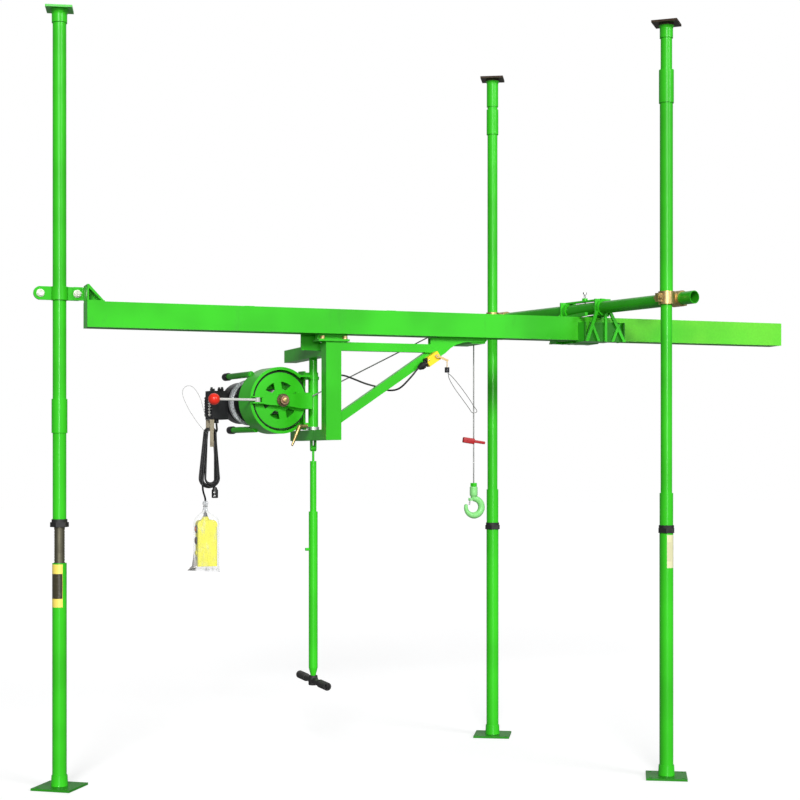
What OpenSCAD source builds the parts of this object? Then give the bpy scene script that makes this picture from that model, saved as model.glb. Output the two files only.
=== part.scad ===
// Column-mounted hoist crane: three floor-to-ceiling props carry a slotted rail,
// and a carriage with a C-frame, a jib and an electric hoist runs along it.
// Millimetres. Origin: centre of the underside of column A's foot plate.
// X runs along the rail, Y away from the hook-up side, Z up.

/* [Columns] */
// Floor to the top face of a ceiling plate
column_height = 2790; // [2500:10:3000]
// Column B, along the rail
column_b_x = 1880; // [1800:5:1960]
// Column B, behind the rail
column_b_y = 455; // [420:5:520]
// Column C, along the rail
column_c_x = 2135; // [2080:5:2200]
// Column C, in front of the rail
column_c_y = -575; // [-640:5:-520]
// Side of a square foot plate
foot_side = 150; // [120:5:200]
// Thickness of a foot plate and a ceiling plate
plate_t = 8; // [6:1:12]
// Side of a square ceiling plate
head_side = 95; // [80:5:120]
// Outside diameter of a lower leg tube
leg_d = 51; // [50:0.5:57]
// Outside diameter of a scaffold tube, the upper tubes of columns A and C
tube_d = 48.3; // [48.3:0.1:48.6]
// Outside diameter of a slim tube, used in columns B and C
slim_d = 42.4; // [40:0.1:44]
// Wall of every column tube
tube_wall = 2.6; // [2:0.1:3.2]
// Outside diameter of a jack screw
screw_d = 38; // [34:0.5:38.5]
// Pitch of the jack screw, which the nut follows
screw_pitch = 10; // [6:1:12]
// Width across the flats of a collar nut
nut_flats = 58; // [54:1:64]
// Height of a collar nut
nut_h = 28; // [22:1:36]
// Underside of column A's nut above the floor
nut_a_z = 933; // [900:1:980]
// Underside of column B's nut above the floor
nut_b_z = 876; // [860:1:900]
// Underside of column C's nut above the floor
nut_c_z = 903; // [880:1:920]
// Bare thread showing under column A's nut
bare_thread = 129; // [100:1:140]

/* [Rail] */
// Underside of the rail above the floor
rail_z = 1645; // [1600:1:1700]
// Height of the rail section
rail_h = 92; // [80:1:110]
// Width of the rail section
rail_w = 90; // [80:1:110]
// Wall of the rail section
rail_wall = 5; // [4:0.5:8]
// Width of the slot along the rail's underside
slot_w = 34; // [32:1:40]
// Left end of the rail, from column A's axis
rail_x = 85; // [80:1:120]
// Length of the rail
rail_len = 2865; // [2600:5:3100]
// Rail centreline in front of column A's axis
rail_front = 45; // [45:1:60]
// Height of the cross tube's axis above the rail's top face
cross_up = 34; // [34:1:44]
// Cross tube's axis beside the axes of columns B and C
cross_side = 60; // [58:1:70]

/* [Carriage] */
// C-frame post axis along the rail
post_x = 1005; // [980:5:1040]
// Side of the square C-frame post
post_side = 60; // [50:1:70]
// Height of the C-frame
frame_h = 370; // [340:5:400]
// Reach of the upper arm behind the rail's centreline
arm_reach = 560; // [480:5:580]
// Diameter of the round post that carries the hoist
round_d = 32; // [28:1:36]
// Round post behind the rail's centreline
round_back = 235; // [220:5:260]
// Diameter of a rail roller
roller_d = 50; // [44:1:52]
// Diameter of a roller axle
axle_d = 16; // [12:0.5:18]
// Half the gap between a hanger's two cheeks
cheek_gap = 8; // [7.5:0.5:9]
// Thickness of a hanger cheek
cheek_t = 6; // [5:0.5:7]
// Running clearance on each side of a turning fit
run_gap = 0.05; // [0.02:0.01:0.1]

/* [Hoist] */
// Angle of the hoist about the round post
hoist_turn = 8; // [0:1:14]
// Height of the drum's axis
drum_z = 1400; // [1380:1:1420]
// Distance from the drum's axis to the round post
drum_side = 157.5; // [155:0.5:165]
// Radius of the drum shell
shell_r = 128; // [124:1:130]
// Radius of a drum flange
flange_r = 112; // [106:1:114]
// Radius of the drum barrel
barrel_r = 42; // [36:1:50]
// Diameter of the wire rope
rope_d = 5; // [4:0.5:6]
// Radius of the drum axle
drum_axle_r = 17; // [14:0.5:18]
// Sheave groove radius at the bottom of the groove
sheave_r = 33; // [28:1:36]
// Sheave axis along the rail
sheave_x = 1612; // [1600:1:1640]
// Sheave plane behind the rail's centreline
sheave_back = 150; // [140:1:160]
// Height of the sheave's axis
sheave_z = 1695; // [1690:1:1700]
// Top of the rope socket above the hook
socket_top = 1079; // [1060:1:1100]

/* [Handling] */
// Diameter of the inner pull rod
rod_d = 25; // [22:0.5:28]
// Diameter of the outer pull tube
rod_tube_d = 35; // [32:0.5:40]
// Length of the T grip
grip_len = 370; // [300:5:400]
// Diameter of the control cable
cable_d = 8; // [7:0.5:9]

/* [Hidden] */
$fn = 48;
green = [0.16, 0.66, 0.12];
dark = [0.12, 0.12, 0.13];
steel = [0.62, 0.62, 0.6];
gold = [0.72, 0.6, 0.32];
yellow = [0.95, 0.8, 0.1];
col_x = [0, column_b_x, column_c_x];
col_y = [0, column_b_y, column_c_y];
foot_turn = [-35, -28, -28];
nut_z = [nut_a_z, nut_b_z, nut_c_z];
leg_top = [nut_a_z - bare_thread, nut_b_z - 1, nut_c_z - 1];
tube_r = tube_d / 2;
slim_r = slim_d / 2;
leg_in_r = leg_d / 2 - 4;
head_z = column_height - plate_t;
rail_y = -rail_front;
rail_top = rail_z + rail_h;
clamp_z = rail_top + 31;
cross_z = rail_top + cross_up;
cross_dx = column_c_x - column_b_x;
cross_dy = column_c_y - column_b_y;
cross_turn = atan2(cross_dy, cross_dx);
cross_len = sqrt(cross_dx * cross_dx + cross_dy * cross_dy);
cross_hit = (rail_y - column_b_y - cross_side * cos(cross_turn)) / sin(cross_turn);
saddle_x = column_b_x - cross_side * sin(cross_turn) + cross_hit * cos(cross_turn);
saddle_half = 88;
stud_d = 8;
side_x = [35.5, -16.5];
saddle_y = 105;
lip_gap = 21;
web_in = rail_w / 2 + 0.3;
roller_r = roller_d / 2;
axle_r = axle_d / 2;
axle_z = rail_z + rail_wall + roller_r + 0.9;
cheek_out = cheek_gap + cheek_t;
roller_in = cheek_out + 2.5;
roller_w = rail_w / 2 - rail_wall - 5 - roller_in;
left_axles = [post_x - 33, post_x + 33];
right_axles = [1470, 1670];
frame_top = rail_z - 28;
frame_bot = frame_top - frame_h;
arm_h = 50;
low_arm_h = 40;
gusset_x = 1400;
round_r = round_d / 2;
drum_x = post_x - drum_side * cos(hoist_turn) + 40 * sin(hoist_turn);
drum_back = round_back - drum_side * sin(hoist_turn) - 40 * cos(hoist_turn);
rope_r = rope_d / 2;
wind_r = barrel_r + rope_r - 0.5;
lead_r = wind_r + rope_d + 0.1;
wind_y = 46;
run_r = sheave_r + rope_r + 0.1;
lead_x0 = drum_x - wind_y * sin(hoist_turn);
lead_y0 = drum_back + wind_y * cos(hoist_turn);
lead_dx = sheave_x - lead_x0;
lead_dz = sheave_z - drum_z;
lead_turn = atan2(lead_dz, lead_dx) + asin((lead_r + run_r) / norm([lead_dx, lead_dz]));
function on_drum(a) = [lead_x0 + lead_r * sin(a) * cos(hoist_turn),
  lead_y0 + lead_r * sin(a) * sin(hoist_turn),
  drum_z - lead_r * cos(a)];
function on_sheave(a) = [sheave_x - run_r * sin(a), sheave_back, sheave_z + run_r * cos(a)];
fall_x = sheave_x + run_r;
hook_z = 983;
hook_r = 33.5;
striker_z = 1245;
rod_z = frame_bot - 30;
grip_z = 311;
grip_top = grip_z + 20;
box_at = [1398, -35, 1558];
box_turn = -34;
pend_x = 641;
pend_back = 516;
control_at = [-120, 360, -11];

// Shared shapes
module at_col(i, z = 0) {
  translate([col_x[i], col_y[i], z]) children();
}
module ring(r_out, r_in, h) {
  difference() {
    cylinder(r = r_out, h = h);
    translate([0, 0, -1]) cylinder(r = r_in, h = h + 2);
  }
}
module cyl_y(r, y0, y1) {
  translate([0, y0, 0]) rotate([-90, 0, 0]) cylinder(r = r, h = y1 - y0);
}
module cyl_x(r, x0, x1) {
  translate([x0, 0, 0]) rotate([0, 90, 0]) cylinder(r = r, h = x1 - x0);
}
module block(a, b) {
  translate(a) cube(b - a);
}
module slab_y(pts, y0, y1) {
  translate([0, y1, 0]) rotate([90, 0, 0]) linear_extrude(height = y1 - y0) polygon(pts);
}
module on_rail() {
  translate([0, rail_y, 0]) children();
}
module on_cross() {
  translate([column_b_x, column_b_y, cross_z]) rotate([0, 0, cross_turn]) children();
}
module on_hoist() {
  translate([drum_x, rail_y + drum_back, drum_z]) rotate([0, 0, hoist_turn]) children();
}
module rod_between(a, b, r) {
  d = b - a;
  translate(a) rotate([0, acos(d[2] / norm(d)), atan2(d[1], d[0])]) cylinder(r = r, h = norm(d));
}

// Tube along points, with sides even sides: rings stand square to the path
function unit(v) = v / norm(v);
function lead_dir(p, i) = unit(p[min(i + 1, len(p) - 1)] - p[max(i - 1, 0)]);
function side_dir(t) = abs(t[2]) > 0.9 ? unit(cross(t, [0, 1, 0])) : unit(cross(t, [0, 0, 1]));
function carry(n, t) = unit(n - (n * t) * t);
function frames(p, i = 0, n = [0, 0, 0]) =
  i == len(p) ? [] :
  let (t = lead_dir(p, i), m = i == 0 ? side_dir(t) : carry(n, t))
  concat([[m, cross(t, m)]], frames(p, i + 1, m));
module cord(p, r, sides) {
  f = frames(p);
  pts = [for (i = [0:len(p) - 1]) for (k = [0:sides - 1])
    p[i] + r * (cos(360 * k / sides) * f[i][0] + sin(360 * k / sides) * f[i][1])];
  walls = [for (i = [0:len(p) - 2]) for (k = [0:sides - 1])
    [i * sides + k, i * sides + (k + 1) % sides, (i + 1) * sides + (k + 1) % sides, (i + 1) * sides + k]];
  start = [[for (k = [sides - 1:-1:0]) k]];
  end = [[for (k = [0:sides - 1]) (len(p) - 1) * sides + k]];
  polyhedron(points = pts, faces = concat(walls, start, end), convexity = 10);
}
// Catmull-Rom curve through points, steps per span
function spot(p, i) = p[max(0, min(i, len(p) - 1))];
function blend(a, b, c, d, t) =
  0.5 * (2 * b + (c - a) * t + (2 * a - 5 * b + 4 * c - d) * t * t + (3 * b - a - 3 * c + d) * t * t * t);
function curve(p, steps) = concat([for (i = [0:len(p) - 2]) for (k = [0:steps - 1])
  blend(spot(p, i - 1), spot(p, i), spot(p, i + 1), spot(p, i + 2), k / steps)], [p[len(p) - 1]]);

// Columns
module leg(i) {
  at_col(i) {
    difference() {
      union() {
        rotate([0, 0, foot_turn[i]]) translate([-foot_side / 2, -foot_side / 2, 0])
          cube([foot_side, foot_side, plate_t]);
        translate([0, 0, plate_t - 1]) cylinder(r1 = leg_d / 2 + 5, r2 = leg_d / 2 + 3, h = 39);
        translate([0, 0, plate_t - 2]) cylinder(r = leg_d / 2, h = leg_top[i] - plate_t + 2);
      }
      translate([0, 0, plate_t + 4]) cylinder(r = leg_in_r, h = leg_top[i] - plate_t);
      for (a = [45:90:315]) rotate([0, 0, foot_turn[i] + a]) translate([foot_side * 0.56, 0, -1])
        cylinder(r = 6, h = 20);
    }
    if (i > 0) screw_body(i);
  }
}
module screw_body(i) {
  top = i == 0 ? 1120 : 1036;
  difference() {
    union() {
      translate([0, 0, leg_top[i] - 110]) cylinder(r = leg_in_r, h = 100);
      translate([0, 0, leg_top[i] - 110]) cylinder(r = screw_d / 2, h = top - leg_top[i] + 110);
    }
    translate([0, 0, 100]) cylinder(r = screw_d / 2 - 6, h = 1200);
    if (i == 0) for (z = [leg_top[0] + 4:screw_pitch:nut_a_z - 6]) translate([0, 0, z])
      ring(screw_d / 2 + 2, screw_d / 2 - 1.8, 4.5);
  }
}
module screw_a() {
  color(steel) at_col(0) screw_body(0);
}
module nut(i) {
  color(dark) at_col(i, nut_z[i]) difference() {
    union() {
      cylinder(r = nut_flats / 2 / cos(30), h = nut_h * 0.62, $fn = 6);
      cylinder(r = nut_flats / 2 - 1, h = nut_h);
    }
    translate([0, 0, -1]) cylinder(r = screw_d / 2 + run_gap, h = nut_h + 2);
  }
}
module tube_runs(runs, bore) {
  difference() {
    union() for (s = runs) translate([0, 0, s[0]]) cylinder(r = s[2] / 2, h = s[1] - s[0]);
    for (s = bore) translate([0, 0, s[0]]) cylinder(r = s[2] / 2, h = s[1] - s[0]);
  }
}
up_a0 = nut_a_z + nut_h + 0.3;
up_b0 = nut_b_z + nut_h + 0.3;
up_c0 = nut_c_z + nut_h + 0.3;
c_join = head_z - 291;
module upright_a() {
  color(green) at_col(0) tube_runs([[up_a0, head_z, tube_d], [1269, 1391, 56]],
    [[up_a0 - 1, head_z + 1, tube_d - 2 * tube_wall]]);
}
module upright_b() {
  color(green) at_col(1) tube_runs([[up_b0, 1045, 50], [up_b0, head_z, slim_d],
    [head_z - 232, head_z - 126, 50]],
    [[up_b0 - 1, 1040, 43.2], [1000, head_z + 1, slim_d - 2 * tube_wall]]);
}
module upright_c() {
  color(green) at_col(2) tube_runs([[up_c0, 1050, 50], [up_c0, cross_z - 15, slim_d],
    [cross_z - 19, c_join, tube_d], [c_join, head_z - 169, 55], [head_z - 182, head_z, slim_d]],
    [[up_c0 - 1, 1042, 43.2], [1000, head_z + 1, slim_d - 2 * tube_wall]]);
}
module head(i, d, low, turn) {
  color(green) at_col(i) difference() {
    union() {
      rotate([0, 0, turn]) translate([-head_side / 2, -head_side / 2, head_z])
        cube([head_side, head_side, plate_t]);
      translate([0, 0, low]) cylinder(r = d / 2 + 3.2, h = head_z - low);
      translate([0, 0, head_z - 16]) cylinder(r1 = d / 2 + 3.2, r2 = d / 2 + 9, h = 16.5);
    }
    translate([0, 0, low - 1]) cylinder(r = d / 2, h = head_z - low + 1);
  }
}
module leg_a() { color(green) leg(0); }
module leg_b() { color(green) leg(1); }
module leg_c() { color(green) leg(2); }
module nut_a() { nut(0); }
module nut_b() { nut(1); }
module nut_c() { nut(2); }
module head_a() { head(0, tube_d, head_z - 46, -12); }
module head_b() { head(1, slim_d, head_z - 114, -28); }
module head_c() { head(2, slim_d, head_z - 51, -40); }

// Clamp round column A, and the bracket on the rail's end
ear_l = 68;
ear_r = 61;
module ear_half(front) {
  y0 = front ? -6.5 : 0.5;
  translate([0, 0, -24]) difference() {
    union() {
      translate([-74, y0, 0]) cube([142, 6, 48]);
      translate([0, y0 + 3, 24]) rotate([90, 0, 0]) for (x = [-ear_l, ear_r])
        translate([x, 0, -3]) cylinder(r = 24, h = 6);
      cylinder(r = tube_r + 6, h = 48);
    }
    translate([0, 0, -1]) cylinder(r = tube_r, h = 50);
    translate([-200, front ? -0.5 : -99.5, -1]) cube([400, 100, 50]);
    translate([0, y0 + 3, 24]) rotate([90, 0, 0]) for (x = [-ear_l, ear_r])
      translate([x, 0, -10]) cylinder(r = 6, h = 20);
  }
}
module clamp_front() {
  color(green) translate([0, 0, clamp_z]) {
    ear_half(true);
    for (x = [-ear_l, ear_r]) translate([x, 0, 0]) {
      translate([0, x > 0 ? -14 : -6.5, 0]) rotate([90, 0, 0]) cylinder(r = 14, h = 2.5);
      translate([0, x > 0 ? -16 : -8.5, 0]) rotate([90, 0, 0]) cylinder(r = 11, h = 8, $fn = 6);
      translate([0, 18, 0]) rotate([90, 0, 0]) cylinder(r = 5.9, h = x > 0 ? 34 : 26);
      translate([0, -1, 0]) rotate([90, 0, 0]) cylinder(r = 6.3, h = 5);
      translate([0, 15, 0]) rotate([90, 0, 0]) cylinder(r = 11, h = 8, $fn = 6);
    }
  }
}
module clamp_rear() {
  color(green) translate([0, 0, clamp_z]) ear_half(false);
}
module end_bracket() {
  y0 = rail_y - 45;
  color(green) difference() {
    union() {
      block([rail_x, y0, rail_top], [rail_x + 6, -6.9, clamp_z + 29]);
      block([rail_x - 36, -13.9, clamp_z - 24], [rail_x + 6, -6.9, clamp_z + 24]);
      slab_y([[rail_x, clamp_z + 29], [rail_x + 6, clamp_z + 29], [rail_x + 62, rail_top],
        [rail_x + 53, rail_top], [rail_x, clamp_z + 21]], y0, rail_y + 38);
      slab_y([[rail_x, clamp_z + 22], [rail_x, rail_top], [rail_x + 54, rail_top]], rail_y, rail_y + 6);
      block([rail_x, y0, rail_top], [rail_x + 62, rail_y + 38, rail_top + 4]);
    }
    translate([ear_r, 0, clamp_z]) rotate([90, 0, 0]) cylinder(r = 6.2, h = 40);
  }
}

// Rail and what carries it
module rail() {
  w = rail_w / 2;
  color(green) on_rail() {
    difference() {
      block([rail_x, -w, rail_z], [rail_x + rail_len, w, rail_top]);
      block([rail_x + 6, -w + rail_wall, rail_z + rail_wall],
        [rail_x + rail_len - 6, w - rail_wall, rail_top - rail_wall]);
      block([rail_x + 6, -slot_w / 2, rail_z - 1],
        [rail_x + rail_len - 6, slot_w / 2, rail_z + rail_wall + 1]);
    }
    for (x = [691, 1249]) block([x - 18, 8, rail_top], [x + 18, 40, rail_top + 6]);
  }
}
module cross_tube() {
  color(green) on_cross() translate([0, cross_side, 0]) difference() {
    cyl_x(tube_r, -60, cross_len + 85);
    cyl_x(tube_r - 3.2, -61, cross_len + 86);
  }
}
module coupler(r) {
  difference() {
    union() {
      translate([0, 0, -24]) cylinder(r = r + 5.5, h = 48);
      translate([0, cross_side, 0]) cyl_x(tube_r + 5.5, -24, 24);
      block([-18, r + 2, -19], [18, cross_side - tube_r - 2, 19]);
      block([-9, -r - 24, -16], [9, -r - 3, 16]);
      block([-16, cross_side + tube_r + 2, -9], [16, cross_side + tube_r + 22, 9]);
    }
    translate([0, 0, -30]) cylinder(r = r, h = 60);
    translate([0, cross_side, 0]) cyl_x(tube_r, -30, 30);
    block([-1.5, -r - 40, -30], [1.5, -r + 6, 30]);
    block([-30, cross_side + tube_r - 6, -1.5], [30, cross_side + tube_r + 40, 1.5]);
  }
  translate([0, -r - 15, 0]) cyl_x(5, -22, 20);
  translate([0, -r - 15, 0]) cyl_x(8.5, 9, 17, $fn = 6);
  translate([0, -r - 15, 0]) cyl_x(8.5, -16, -9, $fn = 6);
  translate([0, cross_side + tube_r + 13, -24]) cylinder(r = 5, h = 44);
  translate([0, cross_side + tube_r + 13, 9]) cylinder(r = 8.5, h = 8, $fn = 6);
  translate([0, cross_side + tube_r + 13, -17]) cylinder(r = 8.5, h = 8, $fn = 6);
}
module coupler_b() {
  color(gold) on_cross() coupler(slim_r);
}
module coupler_c() {
  color(gold) on_cross() translate([cross_len, 0, 0]) coupler(tube_r);
}
// Side plate of the saddle, drawn about its own middle, with the ring at ring_x
module saddle_side(y0, rib, ring_x) {
  top = cross_z - rail_z + tube_r + 10;
  slab_y([[-saddle_half, -8], [saddle_half, -8], [saddle_half - 8, 20], [62, 69], [-62, 69],
    [8 - saddle_half, 20]], y0, y0 + 8);
  slab_y([[ring_x - 34, 98], [ring_x + 34, 98], [ring_x + 34, top], [ring_x - 34, top]], y0, y0 + 8);
  for (s = [-1, 1]) slab_y([[s * saddle_half, -8], [s * (saddle_half - 13), -8], [ring_x + s * 22, 112],
    [ring_x + s * 35, 112]], rib[0], rib[1]);
  for (s = [-1, 1]) slab_y([[s * 36, -8], [s * 25, -8], [s * 54, 62], [s * 65, 62]], rib[0], rib[1]);
  slab_y([[-5, -8], [5, -8], [5, 112], [-5, 112]], rib[0], rib[1]);
}
module saddle() {
  color(green) difference() {
    union() {
      translate([saddle_x, rail_y, rail_z]) {
        translate([side_x[0], 0, 0]) saddle_side(-saddle_y, [-saddle_y - 9, -saddle_y + 1], -9.5);
        translate([side_x[1], 0, 0]) saddle_side(saddle_y - 8, [saddle_y - 1, saddle_y + 9], -9.5);
        for (x = [side_x[1] - saddle_half, side_x[1] + saddle_half - 6])
          block([x, web_in, -8], [x + 6, saddle_y, 69]);
        for (x = [side_x[0] - saddle_half, side_x[0] + saddle_half - 6])
          block([x, -saddle_y, -8], [x + 6, -web_in, 69]);
        block([side_x[0] - saddle_half, lip_gap, -8], [side_x[1] + saddle_half, saddle_y, 0]);
        block([side_x[0] - saddle_half, -saddle_y, -8], [side_x[1] + saddle_half, -lip_gap, 0]);
        for (x = [-50, 44]) block([x, -saddle_y + 4, rail_h], [x + 12, saddle_y - 4, rail_h + 14]);
      }
      on_cross() translate([cross_hit, cross_side, 0]) {
        for (x = [-112, 88]) cyl_x(tube_r + 7, x, x + 24);
        block([-110, -11, tube_r + 4], [110, 11, tube_r + 11]);
        translate([0, 0, tube_r + 4]) cylinder(r = 11, h = 16);
      }
    }
    on_cross() translate([cross_hit, cross_side, 0]) {
      cyl_x(tube_r, -140, 140);
      translate([0, 0, tube_r]) cylinder(r = stud_d / 2 + run_gap, h = 40);
    }
  }
}
module saddle_bolt() {
  color(steel) on_cross() translate([cross_hit, cross_side, tube_r + 0.4]) {
    cylinder(r = stud_d / 2, h = 40);
    translate([0, 0, 36]) cylinder(r = 7.5, h = 8, $fn = 6);
  }
}

// Carriage
module cheeks(pts, holes, r) {
  for (y = [-cheek_out, cheek_gap]) difference() {
    slab_y(pts, y, y + cheek_t);
    for (h = holes) translate([h[0], 0, h[1]]) cyl_y(r, y - 1, y + cheek_t + 1);
  }
}
module hanger_left() {
  color(green) on_rail() {
    cheeks([[post_x - 60, frame_top + 4], [post_x + 60, frame_top + 4], [post_x + 55, axle_z + 22],
      [post_x - 55, axle_z + 22]],
      [for (x = left_axles) [x, axle_z]], axle_r + run_gap);
    block([post_x - 60, -40, frame_top], [post_x + 60, 40, frame_top + 8]);
  }
  color(gold) on_rail() for (x = [post_x - 44, post_x + 44], y = [-28, 28]) translate([x, y, frame_top + 8]) {
    cylinder(r = 11, h = 3);
    cylinder(r = 9, h = 12, $fn = 6);
  }
}
module hanger_right() {
  color(green) on_rail() {
    difference() {
      union() {
        cheeks([[gusset_x, 1566], [1444, 1572], [1462, 1584], [1482, 1602], [1506, 1617], [1540, 1627],
          [1630, 1630], [1640, rail_z - 3], [1712, rail_z - 3], [1700, axle_z + 20], [1440, axle_z + 20],
          [1440, rail_z - 3], [gusset_x, rail_z - 3]],
          [for (x = right_axles) [x, axle_z]], axle_r + run_gap);
        block([gusset_x, -cheek_gap - 1, 1572], [1436, cheek_gap + 1, 1610]);
        block([1692, -cheek_gap - 1, rail_z + 6], [1706, cheek_gap + 1, rail_z + 16]);
        block([gusset_x + 2, -17, 1568], [gusset_x + 11, -13, 1576]);
        block([sheave_x - 40, -cheek_gap - 1, rail_z - 21], [sheave_x + 18, 172, rail_z - 10]);
        block([sheave_x - 34, sheave_back - 15, rail_z - 19], [sheave_x + 16, sheave_back - 9, sheave_z + 14]);
        block([sheave_x - 34, sheave_back + 9, rail_z - 19], [sheave_x + 16, sheave_back + 15, sheave_z + 14]);
      }
      block([sheave_x + 16, sheave_back - 12, 1600], [sheave_x + 60, sheave_back + 12, 1640]);
    }
    translate([sheave_x, 0, sheave_z]) cyl_y(6, sheave_back - 19, sheave_back + 19);
  }
}
module wheelset(x) {
  color(steel) on_rail() translate([x, 0, axle_z]) {
    cyl_y(axle_r, -roller_in - 1, roller_in + 1);
    cyl_y(roller_r, roller_in, roller_in + roller_w);
    cyl_y(roller_r, -roller_in - roller_w, -roller_in);
  }
}
module wheelset_1() { wheelset(left_axles[0]); }
module wheelset_2() { wheelset(left_axles[1]); }
module wheelset_3() { wheelset(right_axles[0]); }
module wheelset_4() { wheelset(right_axles[1]); }
module c_frame() {
  s = post_side / 2;
  color(green) on_rail() difference() {
    union() {
      block([post_x - s, -s, frame_bot], [post_x + s, s, frame_top]);
      block([post_x - 25, s, frame_top - arm_h], [post_x + 25, arm_reach, frame_top]);
      block([post_x - 25, s, frame_bot], [post_x + 25, arm_reach - 90, frame_bot + low_arm_h]);
      block([905, 61, frame_top - 30], [post_x - 24, 71, rail_z + 55]);
      block([912, rail_w / 2 + 0.6, rail_z + 15], [972, 62, rail_z + 50]);
      for (x = [-10, 5]) translate([post_x + x, round_back, rod_z]) {
        cyl_x(12, 0, 5);
        block([0, -12, 0], [5, 12, 31]);
      }
      translate([post_x, round_back, rod_z]) cyl_x(4, -12, 12);
    }
    block([post_x - s + 4, -s + 4, frame_bot + 4], [post_x + s - 4, s - 4, frame_top - 6]);
    block([post_x - 21, s + 6, frame_top - arm_h + 4], [post_x + 21, arm_reach - 4, frame_top - 4]);
    block([post_x - 21, s + 6, frame_bot + 4], [post_x + 21, arm_reach - 94, frame_bot + low_arm_h - 4]);
  }
}
module round_post() {
  color(green) on_rail() translate([post_x, round_back, frame_bot + low_arm_h])
    ring(round_r, round_r - 4, frame_h - arm_h - low_arm_h);
}
module jib() {
  x0 = post_x + post_side / 2;
  a = atan2(1578 - 1330, gusset_x - x0);
  color(green) on_rail() {
    block([x0, -30, frame_top - 34], [gusset_x, 0, frame_top - 2]);
    intersection() {
      translate([x0, 0, 1330]) rotate([0, -a, 0]) translate([-40, -17, -17]) cube([520, 34, 34]);
      block([x0, -40, 1250], [gusset_x, 40, 1640]);
    }
  }
}
module sheave() {
  w = 7.5;
  color(steel) on_rail() translate([sheave_x, sheave_back + w, sheave_z]) rotate([90, 0, 0]) difference() {
    rotate_extrude() polygon([[6 + run_gap, 0], [sheave_r + 6, 0], [sheave_r + 6, 2],
      [sheave_r - 0.3, w - rope_r - 0.3], [sheave_r - 0.3, w + rope_r + 0.3],
      [sheave_r + 6, 2 * w - 2], [sheave_r + 6, 2 * w], [6 + run_gap, 2 * w]]);
    for (a = [0:72:288]) rotate([0, 0, a]) translate([20, 0, -1]) cylinder(r = 5.5, h = 2 * w + 2);
  }
}

// Hoist, in its own axes: x to the round post, y along the drum, z up
module hoist_shell() {
  color(green) on_hoist() difference() {
    union() {
      rotate([-90, 0, 0]) translate([0, 0, -8]) ring(shell_r, shell_r - 4, 108);
      rotate([-90, 0, 0]) translate([0, 0, -8]) ring(shell_r, flange_r + 5, 4);
      cyl_y(shell_r, 96, 100);
    }
    cyl_y(drum_axle_r, 90, 110);
    block([80, -20, -130], [140, 101, 130]);
  }
}
module hoist_frame() {
  color(green) on_hoist() {
    difference() {
      union() {
        intersection() {
          cyl_y(shell_r, 100, 108);
          block([-130, 99, -130], [84, 109, 130]);
        }
        block([60, 100, -100], [134, 108, 100]);
        block([124, 60, -110], [134, 108, 118]);
        for (z = [-100, 92]) block([80, 0, z], [126, 108, z + 8]);
        translate([drum_side, 40, -112]) cylinder(r = round_r + 3.5, h = 224);
        for (z = [-112, 84]) {
          block([119, 40, z], [drum_side, 56, z + 28]);
          translate([drum_side, 40, z]) cylinder(r = round_r + 7, h = 12);
        }
        for (p = [[-78, 103], [-58, -110]]) translate([p[0], 0, p[1]]) {
          cyl_y(12, 100, 365);
          cyl_y(15, 330, 372);
        }
      }
      translate([drum_side, 40, -120]) cylinder(r = round_r, h = 240);
      block([120, 2, -16], [140, 62, 62]);
      cyl_y(30, 90, 112);
    }
  }
}
module bearing_strap() {
  color(green) on_hoist() {
    slab_y([[-86, -14], [-60, -18], [20, -22], [70, -30], [124, -32], [124, 32], [70, 30], [20, 22],
      [-60, 18], [-86, 14]], -24, -14);
    block([116, -24, -32], [124, 2, 32]);
    block([116, 0, -32], [124, 99.7, -18]);
    block([116, 64, -32], [124, 99.7, 32]);
    for (z = [-14, 9]) block([-124, -26, z], [-80, -8, z + 5]);
    cyl_y(25, -30, -3);
    cyl_y(drum_axle_r, -45, 96);
    translate([-102, -18, -14]) cylinder(r = 4, h = 28);
  }
}
module drum() {
  color(green) on_hoist() difference() {
    union() {
      difference() {
        cyl_y(flange_r, 0, 6);
        difference() {
          cyl_y(72, -1, 7);
          cyl_y(44, -2, 8);
          for (a = [20, 80, 140]) rotate([0, a, 0]) block([-90, -3, -15], [90, 9, 15]);
        }
      }
      cyl_y(barrel_r, 5, 87);
      cyl_y(flange_r, 86, 92);
      rotate([-90, 0, 0]) for (i = [0:13]) translate([0, 0, 9.5 + 5.7 * i])
        rotate_extrude() translate([wind_r, 0]) circle(r = rope_r, $fn = 20);
    }
    cyl_y(drum_axle_r + run_gap, -1, 93);
  }
}
module motor() {
  color(dark) on_hoist() difference() {
    union() {
      cyl_y(78, 108, 400);
      cyl_y(92, 286, 302);
      cyl_y(84, 340, 404);
      block([-86, 332, -26], [-60, 390, 16]);
      for (y = [120:14:270]) cyl_y(86, y, y + 4);
    }
    cyl_y(60, 398, 410);
  }
}
module control_box() {
  color(dark) on_hoist() {
    block([-154, 322, -68], [-86, 394, 46]);
    block([-160, 330, -56], [-153, 386, 22]);
    for (z = [-52:11:14]) block([-164, 336, z], [-159, 380, z + 6]);
    translate([-120, 360, -82]) cylinder(r = 9, h = 15);
    translate([-138, 345, 45]) cylinder(r = 5, h = 10);
  }
}
module clutch_lever() {
  color(steel) on_hoist() translate([-102, -18, 0]) {
    difference() {
      translate([0, 0, -8.5]) cylinder(r = 10, h = 17);
      translate([0, 0, -10]) cylinder(r = 4 + run_gap, h = 20);
    }
    cyl_x(5, -172, -9);
    translate([-176, 0, 0]) rotate([35, 0, 0]) rotate([0, 90, 0]) sphere(r = 22);
  }
}
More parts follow.
